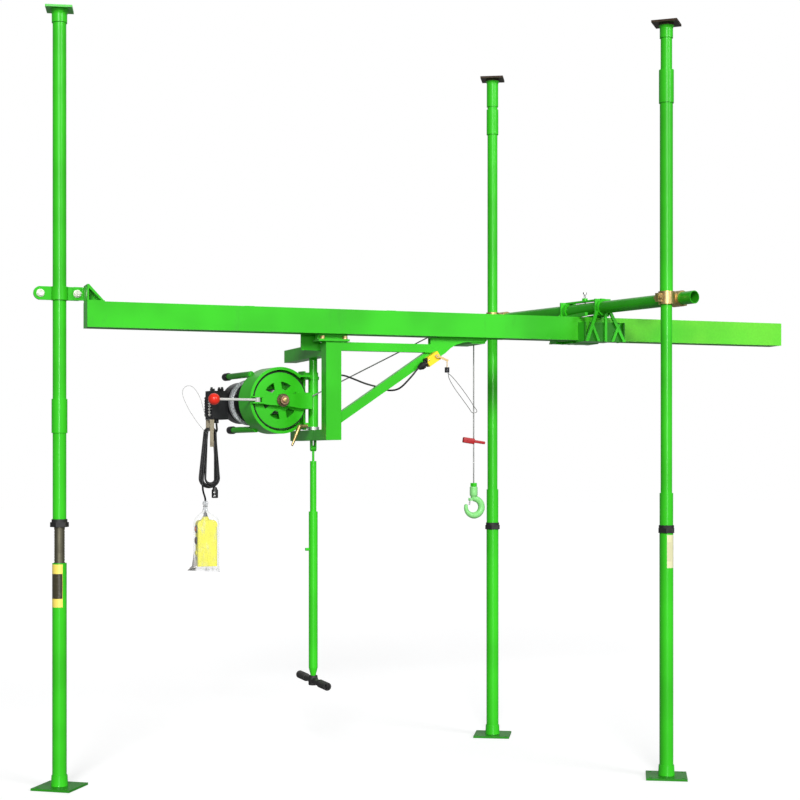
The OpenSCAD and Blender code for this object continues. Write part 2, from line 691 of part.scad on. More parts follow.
module clamp_handle() {
  color(gold) on_hoist() translate([72, -22, -98]) rotate([0, 205, 8]) {
    cylinder(r = 9, h = 18);
    translate([0, 0, 18]) cylinder(r1 = 9, r2 = 3.5, h = 66);
  }
  color(gold) on_hoist() translate([0, -22, -98]) cyl_x(6.5, 70, 104);
  color(gold) on_hoist() translate([98, 0, -97]) cyl_y(6, -26, -0.2);
}

// Pull rod
module rod_inner() {
  color(green) on_rail() translate([post_x, round_back, 0]) {
    translate([0, 0, rod_z]) difference() {
      union() {
        cyl_x(11, -4.6, 4.6);
        translate([0, 0, -50]) cylinder(r = 4.6, h = 42);
      }
      cyl_x(4 + run_gap, -6, 6);
    }
    translate([0, 0, 600]) cylinder(r = rod_d / 2, h = rod_z - 50 - 600);
  }
}
module rod_outer() {
  r = rod_tube_d / 2;
  color(green) on_rail() translate([post_x, round_back, 0]) {
    difference() {
      union() {
        translate([0, 0, grip_top + 30]) cylinder(r = r, h = 970 - grip_top - 30);
        translate([0, 0, grip_top]) cylinder(r1 = 10, r2 = r, h = 30);
        translate([0, 0, 823]) cyl_x(6, -r - 14, 0);
      }
      translate([0, 0, grip_top + 34]) cylinder(r = rod_d / 2 + 0.1, h = 700);
    }
  }
}
module t_grip() {
  h = grip_len / 2;
  color(dark) on_rail() translate([post_x, round_back, grip_z]) {
    translate([0, 0, -18]) cylinder(r = 19, h = 38);
    cyl_y(13, -h, h);
    cyl_y(16, -h, -h + 95);
    cyl_y(16, h - 95, h);
  }
}

// Limit switch
module on_box() {
  on_rail() translate(box_at) rotate([0, box_turn, 0]) children();
}
module limit_box() {
  color(yellow) on_box() {
    block([-29, -18, -17], [29, 18, 17]);
    cyl_x(11, -42, -28);
    cyl_x(14, -52, -41);
    translate([-51, 0, 0]) rotate([0, -90, 0]) cylinder(r1 = 14, r2 = 8, h = 14);
    translate([18, 0, 0]) cyl_y(3, -30, -17);
  }
}
module limit_lever() {
  color(gold) on_box() translate([18, 0, 0]) {
    difference() {
      union() {
        cyl_y(8, -27, -20);
        rotate([0, 56, 0]) block([6, -26, -4], [45, -22, 4]);
      }
      cyl_y(3 + run_gap, -31, -18);
    }
  }
  color(dark) on_rail() {
    translate([1450, box_at[1] - 24.5, 1522]) cylinder(r = 2, h = 34);
    translate([1450, box_at[1] - 24.5, 1506]) cylinder(r = 9, h = 20);
  }
}
// Hairpin of thin wire from the weight down to the rope
loop_pts = [[1452, -61, 1504], [1478, -40, 1492], [1530, 8, 1459], [1590, 70, 1418], [1634, 120, 1387],
  [1655, 141, 1372], [1662, 152, 1364], [1660, 161, 1360], [1652, 164, 1359], [1642, 159, 1362],
  [1622, 136, 1376], [1574, 84, 1408], [1516, 24, 1448], [1470, -32, 1484], [1456, -58, 1504]];
module limit_loop() {
  color(steel) on_rail() cord(curve(loop_pts, 5), 1.2, 6);
}
gland_dir = [-cos(box_turn), 0, sin(box_turn)];
cable_pts = [box_at + 65.2 * gland_dir, box_at + 75 * gland_dir, [1312, -30, 1486], [1276, -8, 1446],
  [1244, 22, 1438], [1206, 26, 1449], [1150, 22, 1462], [1100, 12, 1478], [1060, 4, 1490],
  [post_x + post_side / 2 + 0.3, 4, 1492]];
module limit_cable() {
  color(dark) on_rail() cord(curve(cable_pts, 4), cable_d / 2 - 0.5, 8);
}

// Rope and hook
module rope_lead() {
  color(steel) on_rail() cord(concat([for (a = [lead_turn - 60:12:lead_turn]) on_drum(a)],
    [for (a = [lead_turn:-9:0]) on_sheave(a)], [for (a = [-6:-12:-78]) on_sheave(a)],
    [on_sheave(-90), on_sheave(-90) - [0, 0, 6]]), rope_r, 12);
}
module rope_fall() {
  color(steel) on_rail() translate([fall_x, sheave_back, socket_top - 9.7])
    cylinder(r = rope_r, h = sheave_z - 6 - socket_top + 9.7);
}
module on_fall(z) {
  on_rail() translate([fall_x, sheave_back, z]) children();
}
module striker() {
  color([0.75, 0.1, 0.08]) on_fall(striker_z) difference() {
    rotate([0, 8, 0]) union() {
      block([-46, -9, -11], [2, 9, 11]);
      block([0, -7, -5], [48, 7, 6]);
    }
    translate([0, 0, -40]) cylinder(r = rope_r + run_gap, h = 80);
  }
}
module rope_socket() {
  color(green) on_fall(socket_top - 14) {
    difference() {
      cylinder(r = 14, h = 14, $fn = 6);
      translate([0, 0, 4]) cylinder(r = rope_r + run_gap, h = 20);
    }
    translate([0, 0, -16]) cylinder(r = 7, h = 18);
    translate([0, 0, -16]) cylinder(r = 9.5, h = 5);
  }
}
hook_top = socket_top - 14;
module hook() {
  color(green) on_fall(0) difference() {
    union() {
      translate([0, 0, 1026]) cylinder(r = 16, h = hook_top - 0.5 - 1026);
      translate([0, 0, 1008]) cylinder(r1 = 12, r2 = 15, h = 19);
      translate([0, 0, hook_z]) rotate([90, 0, 0]) rotate([0, 0, 170]) rotate_extrude(angle = 280)
        translate([hook_r, 0]) circle(r = 12, $fn = 32);
      for (y = [-7, 4]) block([-20, y, 1009], [-8, y + 3, 1019]);
    }
    translate([0, 0, hook_top - 17]) cylinder(r = 7 + run_gap, h = 30);
    translate([0, 0, hook_top - 23]) cylinder(r = 9.5 + 0.3, h = 12.5);
    translate([-16, 0, 1014]) cyl_y(2.5 + run_gap, -10, 10);
    block([-30, -4, 1000], [-3, 4, 1024]);
  }
}
module hook_latch() {
  color(steel) on_fall(0) {
    translate([-16, 0, 1014]) cyl_y(2.5, -7.5, 7.5);
    rod_between([-16, 0, 1014], [-18.4, 0, 991], 2.4);
  }
}

// Control cable and pendant
hank_x = 658;
hank_back = 534;
hank_turns = 6;
hank_pitch = 9;
hank_top = 1280;
hank_low = 1098;
hank_r = 17;
// Radius at the bottom of each turn, front turns last
hank_swell = [37, 28, 36, 20, 33, 24, 37];
function top_arc(a) = [hank_r * cos(a), hank_top + hank_r * sin(a)];
function low_arc(a, r) = [r * cos(a), hank_low + r * sin(a)];
// One loop in 24 steps: top, left side, bottom, right side
function hank_at(k, r) = let (lean = asin((r - hank_r) / (hank_top - hank_low)))
  k <= 4 ? top_arc(90 + (90 - lean) * k / 4) :
  k < 8 ? top_arc(180 - lean) * (8 - k) / 4 + low_arc(180 - lean, r) * (k - 4) / 4 :
  k <= 16 ? low_arc(180 - lean + (180 + 2 * lean) * (k - 8) / 8, r) :
  k < 20 ? low_arc(lean, r) * (20 - k) / 4 + top_arc(lean) * (k - 16) / 4 :
  top_arc(lean + (90 - lean) * (k - 20) / 4);
hank_in = [[685.7, 513.3, 1317.7], [686, 513.6, 1310], [687.5, 516, 1302], [689.5, 521, 1294],
  [690, 527, 1287.5], [687.5, 532, 1282.5], [682.5, 535.2, 1281], [676.5, 536, 1284.5]];
hank_out = [[621, 477, 1080], [621.3, 477.5, 1066], [623.5, 481.5, 1051], [628, 490, 1039],
  [633.5, 500.5, 1029.5], [638.3, 510, 1021], [640.6, 514.8, 1012], [641, 516, 1002], [641, 516, 945]];
hank_path = concat(hank_in, [for (k = [-2:24 * hank_turns + 7])
  let (q = hank_at((k + 24) % 24, hank_swell[max(0, floor(k / 24))]))
  [hank_x + q[0], hank_back - hank_pitch * k / 24, q[1]]], hank_out);
function clamp01(v) = max(0, min(1, v));
// Distance between two straight pieces of the path
function piece_gap(p, q, a, b) =
  let (u = q - p, v = b - a, w = p - a, uu = u * u, uv = u * v, vv = v * v, uw = u * w, vw = v * w,
    den = uu * vv - uv * uv, s = den < 0.001 ? 0 : clamp01((uv * vw - vv * uw) / den),
    t = (uv * s + vw) / vv, s2 = t < 0 ? clamp01(-uw / uu) : t > 1 ? clamp01((uv - uw) / uu) : s)
  norm(w + s2 * u - clamp01(t) * v);
module cable_hank() {
  gaps = [for (i = [0:len(hank_path) - 2]) for (j = [i + 6:1:len(hank_path) - 2])
    piece_gap(hank_path[i], hank_path[i + 1], hank_path[j], hank_path[j + 1])];
  echo(least_gap_of_the_hank_to_itself = min(gaps) - cable_d);
  color(dark) on_rail() cord(hank_path, cable_d / 2, 6);
}
module cable_plug() {
  color(dark) on_rail() translate([668, 469.4, 1020]) {
    translate([0, -3, 0]) cylinder(r = 13, h = 34);
    translate([0, 0, 30]) cylinder(r = 3.2, h = 195);
    translate([0, -3, 33]) cylinder(r1 = 10, r2 = 7, h = 10);
  }
}
module hank_strap() {
  color([0.75, 0.68, 0.5]) on_rail() {
    block([hank_x - 9, 469.4, 1216], [hank_x + 6.4, 472, 1299]);
    block([hank_x - 9, 472, 1287], [hank_x + 9, 475.2, 1331.9]);
    block([hank_x - 9, 540.5, 1287], [hank_x + 9, 543.2, 1331.9]);
    block([hank_x - 9, 472, 1285.6], [hank_x + 9, 543.2, 1288]);
  }
}
module pendant() {
  color(yellow) on_rail() translate([pend_x, pend_back, 0]) {
    difference() {
      union() {
        block([-36, -17, 747], [44, 17, 912]);
        block([-30, -23, 747], [38, 23, 912]);
        for (x = [-30, 38]) for (y = [-17, 17]) translate([x, y, 747]) cylinder(r = 6, h = 165);
        for (x = [-16, 24]) translate([x, 0, 912]) cyl_y(20, -23, 23);
        block([-16, -23, 905], [24, 23, 932]);
        translate([0, 0, 930]) cylinder(r1 = 18, r2 = 10, h = 15);
      }
      for (z = [800, 850, 896]) translate([0, 0, z]) cyl_x(10, -40, -26);
      translate([0, 0, 940]) cylinder(r = cable_d / 2, h = 10);
    }
    translate([0, 0, 800]) cyl_x(9.7, -41, -26);
  }
}
module button(z) {
  on_rail() translate([pend_x, pend_back, z]) cyl_x(9.7, -42, -30);
}
module button_up() { color([0.85, 0.35, 0.1]) button(896); }
module button_down() { color([0.45, 0.2, 0.08]) button(850); }
// Clear bag: rings of a rounded section, outside down and inside up
bag_z = [1008, 1000, 985, 968, 950, 938, 915, 860, 820, 780, 750, 724];
bag_w = [8, 11, 7.5, 11, 34, 48, 52, 52, 52, 53, 57, 66];
bag_t = [8, 10, 7.5, 10, 22, 29, 31, 31, 31, 31, 29, 24];
bag_x = [0, 0, 0, 0, 2, 4, 4, 4, 4, 4, 3, -2];
function bag_ring(i, thin) = [for (k = [0:23]) let (a = 15 * k)
  [bag_x[i] + (bag_w[i] - thin) * sign(cos(a)) * pow(abs(cos(a)), 0.6),
  (bag_t[i] - thin) * sign(sin(a)) * pow(abs(sin(a)), 0.6),
  bag_z[i] - (i > 0 && thin > 0 ? 0.02 : 0) + (bag_z[i] < 730 ? 5 * cos(3 * a + 20) : 0)]];
module pendant_bag() {
  n = len(bag_z);
  outer = [for (i = [0:n - 1]) each bag_ring(i, 0)];
  inner = [for (i = [n - 1:-1:0]) each bag_ring(i, 1.2)];
  m = 2 * n;
  walls = [for (i = [0:m - 1]) for (k = [0:23])
    [i * 24 + k, ((i + 1) % m) * 24 + k, ((i + 1) % m) * 24 + (k + 1) % 24, i * 24 + (k + 1) % 24]];
  color([0.85, 0.9, 0.92, 0.35]) on_rail() translate([pend_x, pend_back, 0])
    polyhedron(points = concat(outer, inner), faces = walls, convexity = 8);
}

leg_a();
leg_b();
leg_c();
screw_a();
nut_a();
nut_b();
nut_c();
upright_a();
upright_b();
upright_c();
head_a();
head_b();
head_c();
clamp_front();
clamp_rear();
end_bracket();
rail();
cross_tube();
coupler_b();
coupler_c();
saddle();
saddle_bolt();
hanger_left();
hanger_right();
wheelset_1();
wheelset_2();
wheelset_3();
wheelset_4();
c_frame();
round_post();
jib();
sheave();
hoist_frame();
hoist_shell();
bearing_strap();
drum();
motor();
control_box();
clutch_lever();
clamp_handle();
rod_inner();
rod_outer();
t_grip();
limit_box();
limit_lever();
limit_loop();
limit_cable();
rope_lead();
rope_fall();
striker();
rope_socket();
hook();
hook_latch();
cable_hank();
cable_plug();
hank_strap();
pendant();
button_up();
button_down();
pendant_bag();
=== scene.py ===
"""Column-mounted hoist crane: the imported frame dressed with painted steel, cords, pendant and bag."""

from math import asin, atan2, cos, degrees, pi, radians, sin, sqrt
import bpy
from bpy.props import FloatProperty, FloatVectorProperty, PointerProperty
from mathutils import Matrix, Vector


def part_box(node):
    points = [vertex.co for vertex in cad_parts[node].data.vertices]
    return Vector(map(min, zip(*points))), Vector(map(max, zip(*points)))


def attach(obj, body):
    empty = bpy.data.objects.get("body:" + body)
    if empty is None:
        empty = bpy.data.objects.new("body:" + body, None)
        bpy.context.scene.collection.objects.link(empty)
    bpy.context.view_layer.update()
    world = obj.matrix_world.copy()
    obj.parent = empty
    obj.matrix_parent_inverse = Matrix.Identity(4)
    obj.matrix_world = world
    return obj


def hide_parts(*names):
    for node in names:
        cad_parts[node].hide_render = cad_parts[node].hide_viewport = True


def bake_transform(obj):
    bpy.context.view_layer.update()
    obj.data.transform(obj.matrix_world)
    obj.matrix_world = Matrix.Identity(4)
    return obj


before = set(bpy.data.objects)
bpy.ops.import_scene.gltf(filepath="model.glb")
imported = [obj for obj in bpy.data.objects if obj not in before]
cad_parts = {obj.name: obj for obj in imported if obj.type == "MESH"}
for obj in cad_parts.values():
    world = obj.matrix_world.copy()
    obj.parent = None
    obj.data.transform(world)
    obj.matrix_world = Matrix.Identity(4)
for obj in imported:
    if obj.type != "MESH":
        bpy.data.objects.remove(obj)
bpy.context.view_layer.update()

bl_info = {
    "name": "Column-mounted hoist crane",
    "version": (1, 0, 0),
    "blender": (4, 5, 0),
    "location": "View3D > Sidebar > Crane",
    "description": "Dresses the packed crane with its paint, cords, pendant and bag",
    "category": "Object",
}

# Where the CAD puts things, in metres
RAIL_Y = -0.045
HOIST_AT = Vector((0.8546, 0.12847, 1.400))
HOIST_TURN = radians(8)
HOIST = Matrix.Translation(HOIST_AT) @ Matrix.Rotation(HOIST_TURN, 4, "Z")
FALL = Vector((1.6476, 0.105, 0.0))
PENDANT_AT = Vector((0.641, 0.471, 0.0))
# The same for the cords' routes, in millimetres, with y counted from the rail's middle
DRUM = (854.6, 173.47, 1400)
SHEAVE = (1612, 150, 1695)


def rail(points):
    """Points given in millimetres, with y counted from the rail's middle, as metres."""
    return [Vector((x / 1000, y / 1000 + RAIL_Y, z / 1000)) for x, y, z in points]


# finishes
class Wire:
    """A socket of a finish, so that shader maths reads as an expression."""

    def __init__(self, finish, socket):
        self.finish, self.socket = finish, socket

    def maths(self, kind, *others):
        return self.finish.node("ShaderNodeMath", {"operation": kind}, [self, *others])

    def __add__(self, other):
        return self.maths("ADD", other)

    def __sub__(self, other):
        return self.maths("SUBTRACT", other)

    def __mul__(self, other):
        return self.maths("MULTIPLY", other)

    def __rsub__(self, other):
        return self.finish.node("ShaderNodeMath", {"operation": "SUBTRACT"}, [other, self])

    def __pow__(self, other):
        return self.maths("POWER", other)

    def __gt__(self, other):
        return self.maths("GREATER_THAN", other)

    def __lt__(self, other):
        return self.maths("LESS_THAN", other)

    __radd__, __rmul__ = __add__, __mul__

    def ramp(self, low, high):
        """0 below low, 1 above high, smooth between."""
        kind = {"interpolation_type": "SMOOTHSTEP", "clamp": True}
        values = {"Value": self, "From Min": low, "From Max": high}
        return self.finish.node("ShaderNodeMapRange", kind, values)

    def sine(self):
        return self.maths("SINE")

    def size(self):
        return self.maths("ABSOLUTE")


class Finish:
    """A material with one Principled shader, whose nodes are added by a single method."""

    def __init__(self, name, colour, rough=0.4, metal=0.0, **sockets):
        self.material = bpy.data.materials.new(name)
        self.material.use_nodes = True
        self.tree = self.material.node_tree
        self.shader = self.tree.nodes["Principled BSDF"]
        self.place = Wire(self, self.tree.nodes.new("ShaderNodeTexCoord").outputs["Object"])
        self.set("Base Color", colour)
        self.set("Roughness", rough)
        self.set("Metallic", metal)
        for name, value in sockets.items():
            self.set(name.replace("_", " "), value)

    def plug(self, socket, value):
        if isinstance(value, Wire):
            self.tree.links.new(value.socket, socket)
        elif hasattr(socket.default_value, "__len__") and not hasattr(value, "__len__"):
            socket.default_value = [value] * len(socket.default_value)
        elif hasattr(value, "__len__") and len(socket.default_value) == 4:
            socket.default_value = (*value[:3], 1)
        else:
            socket.default_value = value

    def set(self, name, value):
        self.plug(self.shader.inputs[name], value)

    def node(self, kind, settings, values, out=0):
        made = self.tree.nodes.new(kind)
        for key, value in settings.items():
            setattr(made, key, value)
        pairs = values.items() if isinstance(values, dict) else enumerate(values)
        for key, value in pairs:
            self.plug(made.inputs[key], value)
        return Wire(self, made.outputs[out])

    def split(self, vector):
        outs = self.node("ShaderNodeSeparateXYZ", {}, [vector]).socket.node.outputs
        return [Wire(self, out) for out in outs]

    def axes(self):
        """The point's x, y and z in metres."""
        return self.split(self.place)

    def upward(self):
        """How far a face looks up, from -1 to 1."""
        return self.split(self.node("ShaderNodeNewGeometry", {}, {}, 1))[2]

    def noise(self, scale, detail, rough=0.55, at=None):
        values = {"Vector": at or self.place, "Scale": scale, "Detail": detail, "Roughness": rough}
        return self.node("ShaderNodeTexNoise", {}, values)

    def stretched(self, x, y, z):
        return self.node("ShaderNodeMapping", {}, {"Vector": self.place, "Scale": (x, y, z)})

    def mix(self, factor, first, second):
        """The first colour where the factor is 0, the second where it is 1."""
        return self.node("ShaderNodeMix", {"data_type": "RGBA"}, {"Factor": factor, 6: first, 7: second}, 2)

    def bump(self, height, strength, distance):
        values = {"Height": height, "Strength": strength, "Distance": distance}
        self.set("Normal", self.node("ShaderNodeBump", {}, values))


def scaled(colour, share):
    return tuple(min(1, c * share) for c in colour)


def enamel(name, colour, gloss=0.3, zones=()):
    """Sprayed enamel with orange peel, dust on top faces, dull rubs and small chips.

    zones are (mask maker, colour, roughness, metal) for areas with another colour or none, and for painted
    shade."""
    f = Finish(name, colour, Coat_Weight=0.25, Coat_Roughness=0.2, Specular_IOR_Level=0.2)
    broad = f.noise(3.5, 2)
    fine = f.noise(60, 4)
    rubs = f.noise(14, 5, 0.7, f.stretched(1, 1, 0.35)).ramp(0.57, 0.7)
    chips = f.noise(95, 3, 0.6).ramp(0.735, 0.76)
    dust = f.upward().ramp(0.55, 0.95) * f.noise(22, 4).ramp(0.35, 0.7) * 0.16
    tone = f.mix(broad.ramp(0.3, 0.7), scaled(colour, 0.86), scaled(colour, 1.12))
    tone = f.mix(rubs * 0.22, tone, scaled(colour, 0.62))
    tone = f.mix(dust, tone, (0.5, 0.55, 0.45))
    tone = f.mix(chips * 0.7, tone, (0.09, 0.11, 0.07))
    rough = gloss + fine * 0.08 + rubs * 0.16 + dust * 0.8
    metal = 0.0
    for maker, shade, dull, shine in zones:
        mask = maker(f)
        wear = 0.25 if shine else 0.05
        worn = f.mix(f.noise(130, 4).ramp(0.35, 0.65), scaled(shade, 1 - wear), scaled(shade, 1 + wear))
        tone = f.mix(mask, tone, worn)
        rough = rough * (1 - mask) + mask * (fine * 0.2 + dull)
        metal = mask * shine if metal == 0.0 else metal + mask * shine
    f.set("Base Color", tone)
    f.set("Roughness", rough)
    f.set("Metallic", metal)
    f.bump(f.noise(420, 2) * 0.5 + chips * -0.8 + broad * 0.5, 0.09, 0.0006)
    return f.material


def bare_metal(name, colour, rough, grain=(1, 1, 1), oily=0.0, metal=1.0):
    """Machined or plated metal with a directional grain, tarnish and oily patches."""
    f = Finish(name, colour)
    lines = f.noise(260, 3, 0.6, f.stretched(*grain))
    patches = f.noise(28, 5, 0.65).ramp(0.42, 0.68)
    tone = f.mix(lines, scaled(colour, 0.74), scaled(colour, 1.15))
    tone = f.mix(patches * (0.25 + oily), tone, scaled(colour, 0.35))
    f.set("Base Color", tone)
    f.set("Roughness", rough + lines * 0.14 + patches * 0.15)
    f.set("Metallic", metal - patches * 0.15)
    f.bump(lines + patches * 0.4, 0.14, 0.0004)
    return f.material


def moulded(name, colour, rough, grain=900):
    """Moulded plastic or rubber with a fine spark grain, finger shine and dust."""
    f = Finish(name, colour)
    shine = f.noise(30, 4).ramp(0.4, 0.7)
    fine = f.noise(grain, 2)
    dust = f.upward().ramp(0.3, 0.9) * f.noise(45, 4).ramp(0.4, 0.65) * 0.18
    tone = f.mix(f.noise(9, 3), scaled(colour, 0.85), scaled(colour, 1.12))
    f.set("Base Color", f.mix(dust, tone, (0.35, 0.33, 0.3)))
    f.set("Roughness", rough - shine * 0.1 + fine * 0.1 + dust)
    f.bump(fine, 0.12, 0.0003)
    return f.material


def zone(test, colour, rough, metal):
    """A zone of enamel whose test gets the point's x, y and z."""
    return lambda f: test(*f.axes()), colour, rough, metal


def hoist_zone(test, colour, rough, metal):
    """A zone whose test gets x across the hoist, y along its drum, r from the drum's axis and z up."""

    def mask(f):
        x, y, z = f.axes()
        c, s = cos(HOIST_TURN), sin(HOIST_TURN)
        x, y, z = x - HOIST_AT.x, y - HOIST_AT.y, z - HOIST_AT.z
        across = x * c + y * s
        return test(across, y * c - x * s, (across * across + z * z) ** 0.5, z)

    return mask, colour, rough, metal


def within(value, low, high):
    return (value > low) * (value < high)


# making pieces
def deselect():
    if bpy.context.mode != "OBJECT":
        bpy.ops.object.mode_set(mode="OBJECT")
    for o in list(bpy.context.selected_objects):
        o.select_set(False)


def pick(o):
    deselect()
    o.select_set(True)
    bpy.context.view_layer.objects.active = o


def settle(o, matrix=None):
    """Puts the piece's place into its mesh, after an optional further move."""
    pick(o)
    if matrix is not None:
        o.matrix_world = matrix @ o.matrix_world
        bpy.context.view_layer.update()
    bpy.ops.object.transform_apply(location=True, rotation=True, scale=True)
    return o


def finish_with(o, kind, **settings):
    pick(o)
    m = o.modifiers.new(kind.title(), kind)
    for key, value in settings.items():
        setattr(m, key, value)
    bpy.ops.object.modifier_apply(modifier=m.name)


def outward(o):
    """Merges doubled points and turns all faces outwards."""
    pick(o)
    bpy.ops.object.mode_set(mode="EDIT")
    bpy.ops.mesh.select_all(action="SELECT")
    bpy.ops.mesh.remove_doubles(threshold=0.00001)
    bpy.ops.mesh.normals_make_consistent(inside=False)
    bpy.ops.object.mode_set(mode="OBJECT")


def smooth(o, angle=35):
    pick(o)
    bpy.ops.object.shade_smooth_by_angle(angle=radians(angle))


def block(name, low, high, bevel):
    """A bevelled block between two corners in metres."""
    deselect()
    low, high = Vector(low), Vector(high)
    bpy.ops.mesh.primitive_cube_add(size=1, location=(low + high) / 2)
    o = bpy.context.object
    o.name = name
    o.scale = high - low
    settle(o)
    finish_with(o, "BEVEL", width=bevel, segments=3, limit_method="ANGLE")
    return o


def round_bar(name, start, end, radius, bevel=0.0006, sides=32):
    """A bevelled bar between two points in metres."""
    deselect()
    start, end = Vector(start), Vector(end)
    bpy.ops.mesh.primitive_cylinder_add(vertices=sides, radius=radius, depth=(end - start).length)
    o = bpy.context.object
    o.name = name
    turn = (end - start).to_track_quat("Z", "Y").to_matrix().to_4x4()
    settle(o, Matrix.Translation((start + end) / 2) @ turn)
    finish_with(o, "BEVEL", width=bevel, segments=2, limit_method="ANGLE")
    return o


def joined(name, parts):
    pick(parts[0])
    for p in parts[1:]:
        p.select_set(True)
    bpy.context.view_layer.objects.active = parts[0]
    if len(parts) > 1:
        bpy.ops.object.join()
    o = bpy.context.object
    o.name = name
    return o


def put(o, body, finish, angle=35):
    """Gives a new piece its finish, shading, body and material slot."""
    o.data.materials.clear()
    o.data.materials.append(finish)
    if o.type == "MESH":
        smooth(o, angle)
    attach(o, body)
    return o


def steady_curve(points, steps=6):
    """Catmull-Rom points through the given ones."""
    p = [points[0]] + list(points) + [points[-1]]
    out = []
    for i in range(1, len(p) - 2):
        a, b, c, d = p[i - 1 : i + 3]
        for k in range(steps):
            t = k / steps
            squared, cubed = 2 * a - 5 * b + 4 * c - d, 3 * b - a - 3 * c + d
            out.append(0.5 * (2 * b + (c - a) * t + squared * t**2 + cubed * t**3))
    return out + [p[-1]]


def length_of(points):
    return sum((b - a).length for a, b in zip(points, points[1:]))


def meshed(name, points, edges, faces):
    """A new object from points, edges and faces."""
    deselect()
    mesh = bpy.data.meshes.new(name)
    mesh.from_pydata(points, edges, faces)
    o = bpy.data.objects.new(name, mesh)
    bpy.context.collection.objects.link(o)
    return o


def strip_faces(rows, across, closed):
    """Quads between rows of points, with the last column joined to the first one if closed."""
    faces = []
    for i in range(rows - 1):
        for k in range(across if closed else across - 1):
            a, b = i * across + k, i * across + (k + 1) % across
            faces.append((a, b, b + across, a + across))
    return faces


def curved(name, points, radius, resolution):
    """A round curve of one open spline through the points, and that spline."""
    deselect()
    data = bpy.data.curves.new(name, "CURVE")
    data.dimensions = "3D"
    data.bevel_depth = radius
    data.bevel_resolution = resolution
    data.use_fill_caps = True
    spline = data.splines.new("POLY")
    spline.points.add(len(points) - 1)
    for point, at in zip(spline.points, points):
        point.co = (*at, 1)
    o = bpy.data.objects.new(name, data)
    bpy.context.collection.objects.link(o)
    return o, spline


def line(name, points, radius, finish, body, resolution=3):
    """A round cord through the points."""
    o, spline = curved(name, points, radius, resolution)
    spline.use_smooth = True
    return put(o, body, finish)


# routes of the cords, as in the CAD
HANK_X, HANK_BACK, HANK_TOP, HANK_LOW, HANK_R, HANK_PITCH, HANK_TURNS = 658, 534, 1280, 1098, 17, 9, 6
HANK_SWELL = (37, 28, 36, 20, 33, 24, 37)


def hank_loop(k, swell):
    """A point of one loop, with k from 0 to 24 round it from the top, and swell its radius at the bottom."""
    lean = degrees(asin((swell - HANK_R) / (HANK_TOP - HANK_LOW)))
    top = lambda a: Vector((HANK_R * cos(radians(a)), HANK_TOP + HANK_R * sin(radians(a))))
    low = lambda a: Vector((swell * cos(radians(a)), HANK_LOW + swell * sin(radians(a))))
    if k <= 4:
        return top(90 + (90 - lean) * k / 4)
    if k < 8:
        return top(180 - lean).lerp(low(180 - lean), (k - 4) / 4)
    if k <= 16:
        return low(180 - lean + (180 + 2 * lean) * (k - 8) / 8)
    if k < 20:
        return low(lean).lerp(top(lean), (k - 16) / 4)
    return top(lean + (90 - lean) * (k - 20) / 4)


def hank_route():
    """The control cable from its gland through the turns of its hank to the pendant."""
    start = [(685.7, 513.3, 1317.7), (686, 513.6, 1310), (687.5, 516, 1302), (689.5, 521, 1294)]
    start += [(690, 527, 1287.5), (687.5, 532, 1282.5), (682.5, 535.2, 1281), (676.5, 536, 1284.5)]
    end = [(621, 477, 1080), (621.3, 477.5, 1066), (623.5, 481.5, 1051), (628, 490, 1039)]
    end += [(633.5, 500.5, 1029.5), (638.3, 510, 1021), (640.6, 514.8, 1012)]
    end += [(641, 516, 1002), (641, 516, 945)]
    loops = []
    for n in range(-4, 48 * HANK_TURNS + 15):
        k = n / 2
        q = hank_loop((k + 24) % 24, HANK_SWELL[max(0, int(k // 24))])
        loops.append((HANK_X + q.x, HANK_BACK - HANK_PITCH * k / 24, q.y))
    start = steady_curve(rail(start) + rail(loops[:1]), 3)[:-1]
    end = steady_curve(rail(loops[-1:]) + rail(end), 3)[1:]
    return start + rail(loops) + end


SWITCH_CABLE = [(1312, -30, 1486), (1276, -8, 1446), (1244, 22, 1438), (1206, 26, 1449), (1150, 22, 1462)]
SWITCH_CABLE += [(1100, 12, 1478), (1060, 4, 1490), (1035.3, 4, 1492)]
SWITCH_AT, SWITCH_TURN = (1398, -35, 1558), radians(-34)
HAIRPIN = [(1452, -61, 1504), (1478, -40, 1492), (1530, 8, 1459), (1590, 70, 1418), (1634, 120, 1387)]
HAIRPIN += [(1655, 141, 1372), (1662, 152, 1364), (1660, 161, 1360), (1652, 164, 1359), (1642, 159, 1362)]
HAIRPIN += [(1622, 136, 1376), (1574, 84, 1408), (1516, 24, 1448), (1470, -32, 1484), (1456, -58, 1504)]


def on_switch(x, y, z):
    """A point given in millimetres on the tilted limit switch, as metres."""
    c, s = cos(SWITCH_TURN), sin(SWITCH_TURN)
    at = (SWITCH_AT[0] + x * c + z * s, SWITCH_AT[1] + y, SWITCH_AT[2] - x * s + z * c)
    return rail([at])[0]


# what a user would change
class CraneSizes(bpy.types.PropertyGroup):
    cable: FloatProperty(
        name="Control cable", description="Diameter of the control cable", default=0.008, unit="LENGTH"
    )
    switch_cable: FloatProperty(
        name="Switch cable", description="Diameter of the limit switch's cable", default=0.007, unit="LENGTH"
    )
    wire: FloatProperty(
        name="Thin wire", description="Diameter of the thin wire", default=0.0024, unit="LENGTH"
    )
    rope: FloatProperty(
        name="Wire rope", description="Diameter of the hoist's rope", default=0.005, unit="LENGTH"
    )
    film: FloatProperty(
        name="Bag film", description="Thickness of the bag's film", default=0.0004, unit="LENGTH"
    )


